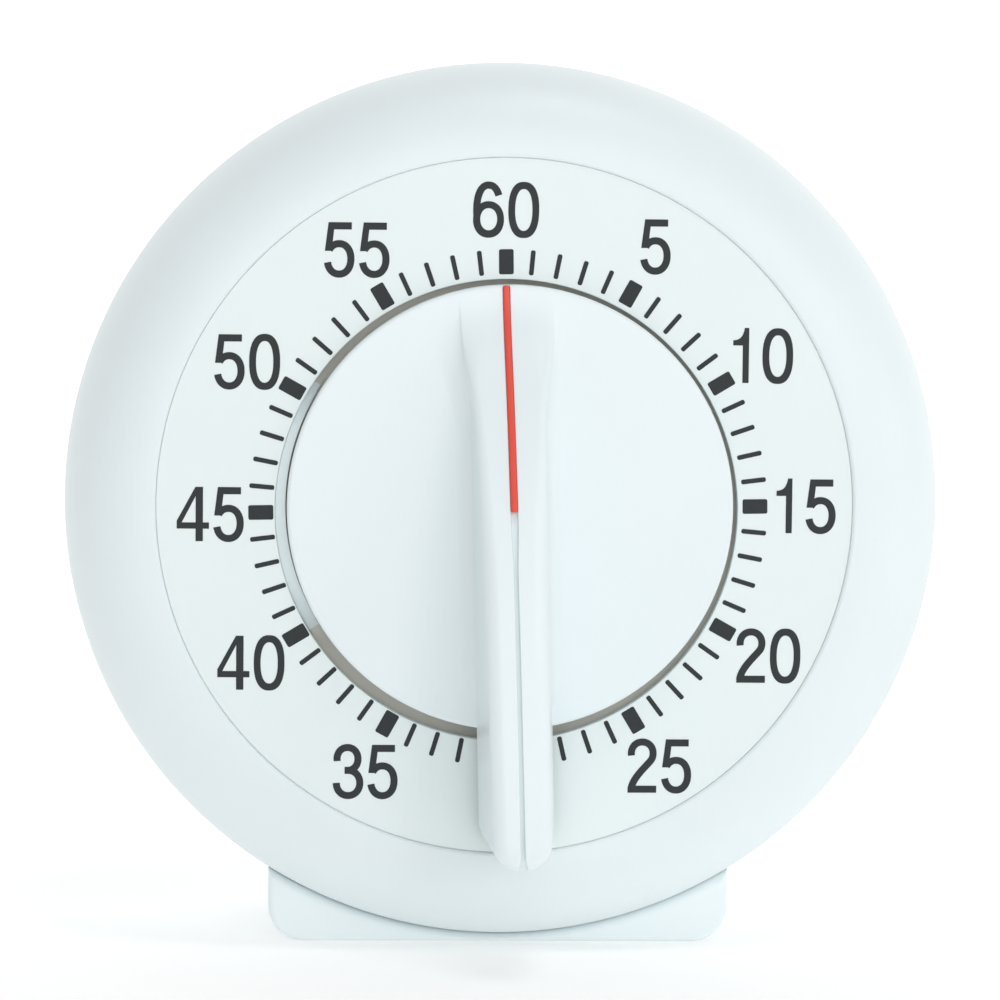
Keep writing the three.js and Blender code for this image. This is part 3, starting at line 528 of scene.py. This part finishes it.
rear = cut(
    rear,
    *[sound_slot(45 * i) for i in range(8)],
    rod(0, 0, BELL_SCREW_HOLE, 0.9, 4.4, 24),
    *[screw_well(x, y) for x, y in case_spots],
)
# the rear cover and foot take the lighter white, painted light that brightens the foot
finish_piece(shade(rear), "rear_cover_and_foot", "case", "shell", painted_light_cover, "rear_housing")


# ---------------------------------------------------------------- screws
def cross_screw(name, x, y, low, head_radius, head_height, shank_radius, length):
    """A cross-head screw whose head starts at z = low and whose shank runs on towards +z."""
    rounding = 0.35
    outline = [(0, 0.12), (head_radius * 0.55, 0.06)]  # the head is slightly domed
    outline += [(head_radius - rounding + rounding * math.sin(a), 0.5 - 0.38 * math.cos(a))
                for a in (math.pi / 2 * i / 6 for i in range(7))]
    end = head_height + length
    outline += [(head_radius, head_height), (shank_radius, head_height), (shank_radius, end - 0.5),
                (shank_radius - 0.5, end), (0, end)]
    body = lathe(name, [(r, low + z) for r, z in outline], x, y, 40)
    reach, half = head_radius * 0.52, 0.3
    arms = []
    for along in (0, 1):
        sections = []
        # the cross narrows with depth
        for share, z in ((1.25, -0.4), (1, 0.1), (0.35, head_height * 0.72)):
            a, b = reach * share, half * (0.7 + 0.3 * share)
            corners = [(-a, -b), (a, -b), (a, b), (-a, b)]
            sections.append([(x + (cy if along else cx), y + (cx if along else cy), low + z)
                             for cx, cy in corners])
        arms.append(loft("arm", sections))
    return shade(cut(body, joined(*arms)))


for number, (x, y) in enumerate(case_spots, 1):
    piece = cross_screw("screw", x, y, low=5, head_radius=2.7, head_height=1.7, shank_radius=1.35, length=12)
    finish_piece(piece, f"cover_screw_{number}", "case", "screws", METALS["screws"], f"case_screw_{number}")

# ---------------------------------------------------------------- bell, seen through the slots
BELL_RADIUS, BELL_BACK, BELL_RIM, BELL_WALL = 22, 3.4, 12, 0.8
BELL_HOLE, BELL_FLAT, BELL_SKIRT = 1.65, 9, 1.5


def bell_curve(radius, base):
    """The bell's profile from its screw hole to the top of its skirt."""
    shoulder = BELL_RIM - BELL_SKIRT
    dome = arc(BELL_FLAT, shoulder, radius - BELL_FLAT, shoulder - base, -75, 0, 20)
    return [(BELL_HOLE, base), (BELL_FLAT, base)] + dome


bell_outline = bell_curve(BELL_RADIUS, BELL_BACK)
bell_outline += [(BELL_RADIUS, BELL_RIM - 0.15), (BELL_RADIUS - 0.15, BELL_RIM),
                 (BELL_RADIUS - BELL_WALL, BELL_RIM)]
bell_outline += bell_curve(BELL_RADIUS - BELL_WALL, BELL_BACK + BELL_WALL)[::-1]
bell = shade(lathe("bell_piece", bell_outline, sides=96), 40)
finish_piece(bell, "alarm_bell", "case", "bell", METALS["bell"], "bell")

# ---------------------------------------------------------------- dial plate
EDGE = 0.14


def ring_section(angle):
    """The dial plate's cross-section at an angle: its hole is not quite in its middle."""
    c, s = math.cos(angle), math.sin(angle)
    outer = [(DIAL_RADIUS, DIAL_BACK)] + arc(DIAL_RADIUS - EDGE, DIAL_FRONT - EDGE, EDGE, EDGE, 0, 90, 4)
    inner = arc(DIAL_HOLE_RADIUS + EDGE, DIAL_FRONT - EDGE, EDGE, EDGE, 90, 180, 4)
    inner.append((DIAL_HOLE_RADIUS, DIAL_BACK))
    return ([(r * c, r * s, z) for r, z in outer]
            + [(DIAL_HOLE_CENTRE[0] + r * c, DIAL_HOLE_CENTRE[1] + r * s, z) for r, z in inner])


dial = loft("dial", [ring_section(2 * math.pi * i / SIDES) for i in range(SIDES)], True)
finish_piece(shade(dial), "dial_face", "case", "dial", white_dial, "dial_plate")

# ---------------------------------------------------------------- figures
HEIGHT, OVER, STROKE = 6.09, 0.085, 0.8  # round figures run over the height by OVER at both ends
LOW, HIGH = STROKE / 2 - OVER, HEIGHT + OVER - STROKE / 2  # centre lines of the lowest and highest strokes
ONE_STEM = 0.7
ONE_ROOM = 1.05  # blank space after a 1, which stands in the width of the other figures
FOUR_STEM = 0.82


def super_arc(cx, cy, rx, ry, start, end, power, steps=30):
    """Like arc(), but fuller in its corners than an ellipse where power is above 2."""
    def bulge(value):
        return math.copysign(abs(value) ** (2 / power), value)

    angles = [math.radians(start + (end - start) * i / steps) for i in range(steps + 1)]
    return [(cx + rx * bulge(math.cos(a)), cy + ry * bulge(math.sin(a))) for a in angles]


def bezier(a, b, c, d, steps=14):
    a, b, c, d = map(Vector, (a, b, c, d))
    return [tuple(a * (1 - t) ** 3 + b * 3 * t * (1 - t) ** 2 + c * 3 * t * t * (1 - t) + d * t ** 3)
            for t in (i / steps for i in range(steps + 1))]


def stroke(line):
    """The outline of a pen stroke with square ends along a line."""
    line = [Vector(p) for p in line]
    line = [p for i, p in enumerate(line) if i == 0 or (p - line[i - 1]).length > 1e-4]
    left, right = [], []
    for i, p in enumerate(line):
        heading = (line[min(i + 1, len(line) - 1)] - line[max(i - 1, 0)]).normalized()
        side = Vector((-heading.y, heading.x)) * STROKE / 2
        left.append(tuple(p + side))
        right.append(tuple(p - side))
    return left + right[::-1]


# each figure gives its width, the outlines that are joined, and the holes
def zero():
    w = 3.45
    middle, ry = (LOW + HIGH) / 2, (HIGH - LOW) / 2
    outer = super_arc(w / 2, middle, w / 2, ry + STROKE / 2, 0, 360, 2.4, 64)[:-1]
    inner = super_arc(w / 2, middle, w / 2 - 0.76, ry - STROKE / 2, 0, 360, 2.25, 64)[:-1]
    return w, [outer], [inner]


def one():
    w = 1.78
    stem = [(w - ONE_STEM, 0), (w, 0), (w, HEIGHT + OVER), (w - 0.5, HEIGHT + OVER)]
    flag = bezier((w - 0.5, HEIGHT + OVER), (w - 0.65, 0.86 * HEIGHT),
                  (0.8, 0.79 * HEIGHT), (0, 0.785 * HEIGHT), 10)
    return w + ONE_ROOM, [stem + flag[1:] + [(0, 0.69 * HEIGHT), (w - ONE_STEM, 0.69 * HEIGHT)]], []


def two():
    w = 3.34
    top = super_arc(w * 0.495, HIGH - 1.3, w * 0.495 - STROKE / 2 - 0.02, 1.3, 190, -28, 2.1)
    start = top[-1]
    tail = bezier(start, (start[0] - 0.35, start[1] - 0.62), (0.5, 1.72), (0.42, 0.3))
    base = [(0.03, 0), (w * 0.985, 0), (w * 0.985, STROKE), (0.1, STROKE)]
    return w, [stroke(top + tail[1:]), base], []


def three():
    w = 3.31
    bar = 0.522 * HEIGHT
    upper = super_arc(1.54, (HIGH + bar) / 2, 1.18, (HIGH - bar) / 2, 190, -90, 2.1)
    lower = super_arc(1.62, (LOW + bar) / 2, 1.32, (bar - LOW) / 2, 90, -180, 2.1)
    return w, [stroke(upper + [(1.22, bar)]), stroke([(1.22, bar)] + lower)], []


def four():
    w, bar_low, bar_high = 3.6, 0.23 * HEIGHT, 0.345 * HEIGHT
    left, right = 0.585 * w, 0.585 * w + FOUR_STEM
    outer = [(left, 0), (right, 0), (right, bar_low), (w, bar_low), (w, bar_high), (right, bar_high),
             (right, HEIGHT), (0.575 * w, HEIGHT), (0, 0.375 * HEIGHT), (0, bar_low), (left, bar_low)]
    inner = [(left, bar_high), (left, 0.83 * HEIGHT), (0.155 * w, bar_high)]
    return w, [outer], [inner]


def five():
    w = 3.43
    top = [(0.145 * w, HEIGHT - STROKE), (0.9 * w, HEIGHT - STROKE), (0.9 * w, HEIGHT), (0.145 * w, HEIGHT)]
    stem = [(0.145 * w, HEIGHT), (0.33 * w, HEIGHT), (0.33 * w, HEIGHT - STROKE), (0.275 * w, 0.6 * HEIGHT),
            (0.245 * w, 0.475 * HEIGHT), (0.03 * w, 0.475 * HEIGHT)]
    bowl = super_arc(w / 2 - 0.02, 0.33 * HEIGHT, (w - STROKE) / 2, 0.33 * HEIGHT - LOW, 146, -168, 2.15, 44)
    return w, [top, stem, stroke(bowl)], []


def six():
    w = 3.45
    middle, ry = (LOW + HIGH) / 2, (HIGH - LOW) / 2
    tail = super_arc(w / 2, middle, (w - STROKE) / 2, ry, 33, 205, 2.25, 40)
    bowl = super_arc(w / 2, 0.32 * HEIGHT, w / 2, 0.32 * HEIGHT + OVER, 0, 360, 2.15, 60)[:-1]
    eye_height = 0.32 * HEIGHT + OVER - STROKE
    eye = super_arc(w / 2 + 0.02, 0.325 * HEIGHT, w / 2 - 0.78, eye_height, 0, 360, 2.1, 60)[:-1]
    return w, [bowl, stroke(tail)], [eye]


def glyph(outlines, holes):
    """A printed figure as a thin solid."""
    solids = [prism("glyph", o, PRINT_BACK, PRINT_FRONT) for o in outlines]
    made = joined(*solids) if len(solids) > 1 else solids[0]
    if holes:
        made = cut(made, *[prism("hole", h, PRINT_BACK - 1, PRINT_FRONT + 1) for h in holes])
    return made


FIGURES = {str(i): shape() for i, shape in enumerate((zero, one, two, three, four, five, six))}
GLYPHS = {figure: glyph(outlines, holes) for figure, (_, outlines, holes) in FIGURES.items()}
NUMBER_RADIUS, FIGURE_GAP = 33.55, 0.48
# how far each number is printed off its circle, to the right and up
NUMBER_SHIFT = {
    5: (0.05, 0.17), 10: (-0.25, 0.05), 15: (0.0, -0.17), 20: (0.1, -0.28), 25: (-0.05, -0.3), 30: (0.0, 0.0),
    35: (0.33, -0.32), 40: (-0.1, -0.05), 45: (0.15, 0.0), 50: (0.05, 0.22), 55: (0.2, 0.26), 60: (0.15, 0.0),
}
TICK_RADIUS, TICK_LENGTH, TICK_CORNER = 27.76, 2.8, 0.2
MINUTE_WIDTH, FIVE_WIDTH = 0.53, 1.64

print_mesh = bmesh.new()


def add_print(source, dx, dy):
    """Adds a copy of a printed shape, moved in the front view."""
    copy = source.data.copy()
    copy.transform(Matrix.Translation((dx * MM, 0, dy * MM)))
    print_mesh.from_mesh(copy)
    bpy.data.meshes.remove(copy)


for minute in range(5, 65, 5):
    heading = math.pi / 2 - math.radians(6 * minute) + NUMBER_ROLL
    right, up = NUMBER_SHIFT[minute]
    cx = PRINT_CENTRE[0] + NUMBER_RADIUS * math.cos(heading)
    cy = PRINT_CENTRE[1] + NUMBER_RADIUS * math.sin(heading)
    text = str(minute)
    total = sum(FIGURES[f][0] for f in text) + FIGURE_GAP * (len(text) - 1)
    x = cx + right - total / 2
    for figure in text:
        add_print(GLYPHS[figure], x, cy + up - HEIGHT / 2)
        x += FIGURES[figure][0] + FIGURE_GAP

for tick in range(60):
    heading = math.pi / 2 - math.radians(6 * tick) + TICK_ROLL
    half, reach = (MINUTE_WIDTH if tick % 5 else FIVE_WIDTH) / 2, TICK_LENGTH / 2
    corners = [(-reach, -half), (reach, -half), (reach, half), (-reach, half)]
    outline = softened(corners, {k: TICK_CORNER for k in range(4)}, 3)
    c, s = math.cos(heading), math.sin(heading)
    px, py = PRINT_CENTRE
    turned = [(px + (TICK_RADIUS + x) * c - y * s, py + (TICK_RADIUS + x) * s + y * c) for x, y in outline]
    bar = prism("tick", turned, PRINT_BACK, PRINT_FRONT)
    add_print(bar, 0, 0)
    bpy.data.meshes.remove(bar.data)
for source in GLYPHS.values():
    bpy.data.meshes.remove(source.data)
print_data = bpy.data.meshes.new("printing")
print_mesh.to_mesh(print_data)
print_mesh.free()
printing = bpy.data.objects.new("dial_printing", print_data)
bpy.context.scene.collection.objects.link(printing)
printing.data.materials.append(dark_ink)
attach(printing, "case")

# ---------------------------------------------------------------- knob
# the curve of the crest: (distance down the dial from the axis, height above the disc)
CREST = [(-20.6, 0.0), (-6.0, 12.3), (36.5, 16.0)]
CREST_EASE = 3.6  # the crest lifts off the disc gradually, over this far each side of its start
TIP_ROUND = 2.2  # rounding of the crest's end, seen from the side
FLARE, FLARE_START, FLARE_LENGTH = 0.9, 9, 12  # the fin widens towards the upper end of the disc
FILLET_FLARE, FILLET_FLARE_LENGTH = 1.6, 10
CROWN_SHARP = 0.62  # share of FIN_CROWN along the fin's upper slope, which grows to 1 below the axis
CROWN_FLARE = 1.2  # what is added to that share where the crest meets the disc
FILLET_END, FILLET_FADE = 18.5, 5  # the fillet to the disc fades out before the disc's lower edge


def crest_height(u):
    """Height of the fin's crest above the disc; u runs down the dial from the knob's axis."""
    (u0, h0), (u1, h1), (u2, h2) = CREST
    if u <= u0 - CREST_EASE:
        return 0.0
    eased = u if u > u0 + CREST_EASE else u0 + (u - u0 + CREST_EASE) ** 2 / (4 * CREST_EASE)
    a, b, c = u0 - 2 * u1 + u2, 2 * (u1 - u0), u0 - min(eased, u2)
    t = (-b + math.sqrt(b * b - 4 * a * c)) / (2 * a)
    height = (1 - t) ** 2 * h0 + 2 * t * (1 - t) * h1 + t * t * h2
    past = max(0.0, u - (FIN_REACH - TIP_ROUND)) / TIP_ROUND
    return height - TIP_ROUND * (1 - math.sqrt(max(0.0, 1 - past * past)))


def fin_section(u):
    """Half of the fin's cross-section, from the crest's middle to the underside."""
    height = crest_height(u)
    past = max(0.0, u - (FIN_REACH - FIN_TIP)) / FIN_TIP
    narrow = math.sqrt(max(0.0, 1 - past * past))
    top = DISC_FRONT + height
    half = (FIN_HALF - FIN_DRAFT * height + FLARE * smoothstep((-FLARE_START - u) / FLARE_LENGTH)) * narrow
    fillet = (FIN_FILLET * (1 - smoothstep((u - FILLET_END) / FILLET_FADE))
              + FILLET_FLARE * smoothstep((-FLARE_START - u) / FILLET_FLARE_LENGTH) + 0.01)
    crown_share = (CROWN_SHARP + (1 - CROWN_SHARP) * smoothstep((u + 12) / 18)
                   + CROWN_FLARE * smoothstep((-14.5 - u) / 6))
    crown = min(FIN_CROWN * crown_share, half * 0.8)
    share = max(0.0, min(1.0, height / (fillet + crown)))  # below 1 where crown and fillet are flattened
    points = [(0.0, top), ((half - crown) * 0.6, top)]
    for i in range(15):
        a = math.radians(90 * i / 14)
        x = half - crown + crown * math.sin(a) ** 0.95
        points.append((x, top - crown * share * (1 - math.cos(a) ** 0.95)))
    low, high = DISC_FRONT + fillet * share, top - crown * share
    draft = FIN_DRAFT * (high - low) * narrow
    points += [(half + draft * t, high + (low - high) * t) for t in (0.33, 0.67)]
    half += draft
    for i in range(11):
        a = math.radians(90 * i / 10)
        z = low - fillet * share * math.sin(a) - (0 if share else 1e-3)
        points.append((half + fillet * (1 - math.cos(a)), z))
    skirt = half + fillet + 0.6 * fillet / FIN_FILLET
    points += [(skirt, DISC_FRONT - 0.04 * fillet / FIN_FILLET - 0.01), (skirt, FIN_UNDERSIDE)]
    return points


tip_start = FIN_REACH - FIN_TIP
stations = [u for u in (-24.6 + 1.0 * i for i in range(60)) if u < tip_start - 0.3]
stations = sorted(set(stations + [-24.3, -24.0, -23.8, -23.4, -23.2, -23.0, -22.8, -22.3, -22.0, -21.3]))
stations += [tip_start + FIN_TIP * math.sin(math.radians(a)) for a in (*range(0, 90, 6), 88)]
sections = []
for u in stations:
    half_section = fin_section(u)
    whole = half_section + [(-x, z) for x, z in half_section[:0:-1]]
    sections.append([(x, -u, z) for x, z in whole])
fin = loft("fin", sections)
# the fin stays inside the disc's rim, but for the part that reaches out over the dial
kept = joined(rod(0, 0, DISC_RADIUS - 0.55, 36, 60, SIDES), box(-6, 6, -45, -12, 36, 60))
fin = common(fin, kept)

rim_back, rim_front = (DISC_RADIUS, DISC_BACK), (DISC_RADIUS, DISC_FRONT)
disc = lathe("disc", [(0, DISC_FRONT - DISC_SKIN), (DISC_RADIUS - DISC_WALL, DISC_FRONT - DISC_SKIN),
                      (DISC_RADIUS - DISC_WALL, DISC_BACK)]
             + rounded_corner((0, DISC_BACK), rim_back, rim_front, 0.15, 2)
             + rounded_corner(rim_back, rim_front, (0, DISC_FRONT), 0.45, 6)
             + [(0, DISC_FRONT)])


def side_prism(name, outline, half):
    """An outline in side view, of (distance down the dial, z), drawn across the fin."""
    return loft(name, [[(x, -u, z) for u, z in outline] for x in (-half, half)])


# the fin is hollow from below, with walls of about 2 mm
ROOM_START, ROOM_BACK, ROOM_SKIN, ROOM_SIDE = -12, 26, 2.3, 2.25
crest_line = [(u, crest_height(u) + DISC_FRONT - ROOM_SKIN) for u in range(ROOM_START + 1, ROOM_START + 47)]
fin_room = side_prism("room", [(ROOM_START, ROOM_BACK), (ROOM_START, DISC_FRONT + 2.5)] + crest_line
                      + [(FIN_REACH - 2.2, ROOM_BACK)], FIN_HALF - ROOM_SIDE)
knob = joined(disc, fin)
knob = cut(knob, fin_room)
knob = joined(knob, rod(0, 0, HUB_RADIUS, HUB_BACK, 42, 48))


def groove_cutter():
    """Swept along the crest, round the tip's corner and down its end, with a small chamfer on its edges."""
    bend = FIN_REACH - TIP_ROUND
    path = [u for u in (-26 + 0.8 * i for i in range(76)) if u < bend - 0.5]
    path = [(u, DISC_FRONT + crest_height(u)) for u in path]
    top = DISC_FRONT + crest_height(bend)
    turns = [math.radians(a) for a in range(0, 91, 10)]
    path += [(bend + TIP_ROUND * math.sin(a), top - TIP_ROUND * (1 - math.cos(a))) for a in turns]
    path += [(FIN_REACH, z) for z in (50, 46, 42, 38, 34)]
    made = []
    for i, (u, z) in enumerate(path):
        before, after = path[max(i - 1, 0)], path[min(i + 1, len(path) - 1)]
        along = Vector((after[0] - before[0], after[1] - before[1])).normalized()
        out = Vector((-along.y, along.x))
        narrowing, flare = smoothstep((u - 0.5) / 6), smoothstep((u - 36.8) / 1.6)
        wide = 1 - GROOVE_NARROWING * narrowing + GROOVE_FLARE * flare
        half = [(GROOVE_HALF - 0.07, -GROOVE_DEPTH), (GROOVE_HALF - 0.02, -GROOVE_DEPTH + 0.06),
                (GROOVE_HALF, -0.1), (GROOVE_HALF + 0.03, -0.03), (GROOVE_HALF + 0.09, 0.01), (1.6, 1.2)]
        section = half + [(-x, n) for x, n in half[::-1]]
        made.append([(x * wide, -(u + out.x * n), z + out.y * n) for x, n in section])
    return loft("groove", made)


bore = cut(rod(0, 0, BORE_RADIUS, HUB_BACK - 1, 37.2, 32), box(-4, 4, BORE_FLAT, 5, HUB_BACK - 2, 40))
knob = cut(knob, groove_cutter(), bore)


def turn_knob(obj):
    """Turns a piece of the knob to where the pointer rests, and moves it onto the knob's axis."""
    c, s = math.cos(KNOB_TURN), math.sin(KNOB_TURN)
    for vertex in obj.data.vertices:
        x, y = vertex.co.x / MM, (vertex.co.z - AXIS_HEIGHT) / MM
        vertex.co.x, vertex.co.z = (AXIS_X + x * c - y * s) * MM, AXIS_HEIGHT + (x * s + y * c) * MM
    return obj


finish_piece(shade(turn_knob(knob), 32), "finned_knob", "knob", "knob", white_knob, "knob")

STRIP_TOP, STRIP_END, STRIP_PROUD, STRIP_SINK, STRIP_STEPS = -24.95, -0.4, 0.22, 0.5, 44
# places along the strip with its width there: a round upper end, then the full width
turns = [math.radians(a) for a in (12, 35, 60)]
strip_places = [(STRIP_TOP + STRIP_HALF * (1 - math.cos(a)), math.sin(a)) for a in turns]
even_places = [STRIP_TOP + (STRIP_END - STRIP_TOP) * i / STRIP_STEPS for i in range(1, STRIP_STEPS + 1)]
strip_places += [(u, 1.0) for u in even_places if u >= STRIP_TOP + STRIP_HALF]
half = [(0, STRIP_PROUD), (0.16, STRIP_PROUD - 0.01), (0.28, STRIP_PROUD - 0.04), (0.34, STRIP_PROUD - 0.11),
        (STRIP_HALF, STRIP_PROUD - 0.2), (STRIP_HALF, -STRIP_SINK)]
section = half + [(-x, n) for x, n in half[:0:-1]]
strip = loft("strip", [[(x * width, -u, DISC_FRONT + crest_height(u) + n) for x, n in section]
                       for u, width in strip_places])
finish_piece(shade(turn_knob(strip), 50), "red_pointer", "knob", "pointer", red_strip, "pointer_strip")

# ---------------------------------------------------------------- movement: CAD nodes with their finishes
slots = {s["node"]: s["material_slot"] for s in frame["record"]["subparts"]}
LOOKS = dict(METALS, washer=fibre.material)
for name, node in frame["nodes"].items():
    if node.hide_render:
        continue
    node.data.materials.clear()
    node.data.materials.append(LOOKS[slots[name]])
    weld = node.modifiers.new("weld", "WELD")
    weld.merge_threshold = 1e-6
    edges = node.modifiers.new("edges", "BEVEL")
    edges.width, edges.segments, edges.limit_method = 0.05 * MM, 1, "ANGLE"
    edges.angle_limit = math.radians(40)

# ---------------------------------------------------------------- stage, light and camera
CASE_MIDDLE = place(0, 0, PARTING)
FLOOR_GLOW, WALL_GLOW = 0.3, 0.65
LIGHT_DISTANCE = 0.9


def stage_material():
    """White paper; the wall glows a little more than the floor, to stay white behind the object."""
    look = Look("white_sweep", Base_Color=(0.8, 0.8, 0.8, 1), Roughness=0.9, Emission_Color=(1, 1, 1, 1))
    depth = look.node("ShaderNodeSeparateXYZ", {"Vector": look.coords}).outputs["Y"]
    glow = look.between(depth, FLOOR_GLOW, WALL_GLOW, 0.05, 0.6)
    look.tree.links.new(glow, look.shader.inputs["Emission Strength"])
    return look.material


def backdrop():
    """Floor and wall in one sweep, in metres."""
    half, bend, radius = 3.0, 0.35, 0.5
    turns = [math.radians(a) for a in range(5, 91, 5)]
    profile = [(-half, 0.0), (bend, 0.0)]
    profile += [(bend + radius * math.sin(a), radius * (1 - math.cos(a))) for a in turns]
    profile += [(bend + radius, half)]
    points = [(x, y, z) for y, z in profile for x in (-half, half)]
    mesh = bpy.data.meshes.new("sweep")
    mesh.from_pydata(points, [], [(2 * i, 2 * i + 1, 2 * i + 3, 2 * i + 2) for i in range(len(profile) - 1)])
    mesh.polygons.foreach_set("use_smooth", [True] * len(mesh.polygons))
    mesh.materials.append(stage_material())
    made = bpy.data.objects.new("sweep", mesh)
    bpy.context.scene.collection.objects.link(made)


backdrop()

world = bpy.data.worlds.new("studio")
world.use_nodes = True
surroundings = world.node_tree.nodes["Background"]
surroundings.inputs["Color"].default_value = (1.0, 1.0, 1.0, 1)
surroundings.inputs["Strength"].default_value = 0.49
bpy.context.scene.world = world
bpy.context.scene.view_settings.view_transform = "Standard"


def area_light(name, direction, size, power):
    """A square light that faces the case from a direction."""
    data = bpy.data.lights.new(name, "AREA")
    data.shape, data.size, data.energy = "SQUARE", size, power
    lamp = bpy.data.objects.new(name, data)
    bpy.context.scene.collection.objects.link(lamp)
    back = Vector(direction).normalized()
    lamp.location = CASE_MIDDLE + back * LIGHT_DISTANCE
    lamp.rotation_euler = (-back).to_track_quat("-Z", "Y").to_euler()


area_light("side", (1.2, -0.5, 0.15), size=0.5, power=0.75)
area_light("top", (0.2, -0.42, 1.25), size=0.25, power=1.05)
area_light("front", (0.0, -1.0, 0.25), size=0.5, power=0.8)
area_light("front_right", (0.6, -1.0, 0.35), size=0.3, power=0.8)
area_light("low", (0.1, -1.0, 0.02), size=0.4, power=0.45)

VIEW_AZIMUTH, VIEW_ELEVATION, VIEW_DISTANCE = math.radians(-2.4), math.radians(4.4), 0.45
VIEW_ROLL = math.radians(0.6)
camera_data = bpy.data.cameras.new("view")
camera_data.lens = 140.9
camera_data.shift_x, camera_data.shift_y = -0.0015, -0.00015
camera_data.clip_start, camera_data.clip_end = 0.01, 20
camera = bpy.data.objects.new("view", camera_data)
bpy.context.scene.collection.objects.link(camera)
back = Vector((math.sin(VIEW_AZIMUTH) * math.cos(VIEW_ELEVATION),
               -math.cos(VIEW_AZIMUTH) * math.cos(VIEW_ELEVATION), math.sin(VIEW_ELEVATION)))
camera.location = CASE_MIDDLE + back * VIEW_DISTANCE
camera.rotation_euler = ((-back).to_track_quat("-Z", "Y") @ Quaternion((0, 0, 1), VIEW_ROLL)).to_euler()
bpy.context.scene.camera = camera

bpy.context.view_layer.update()
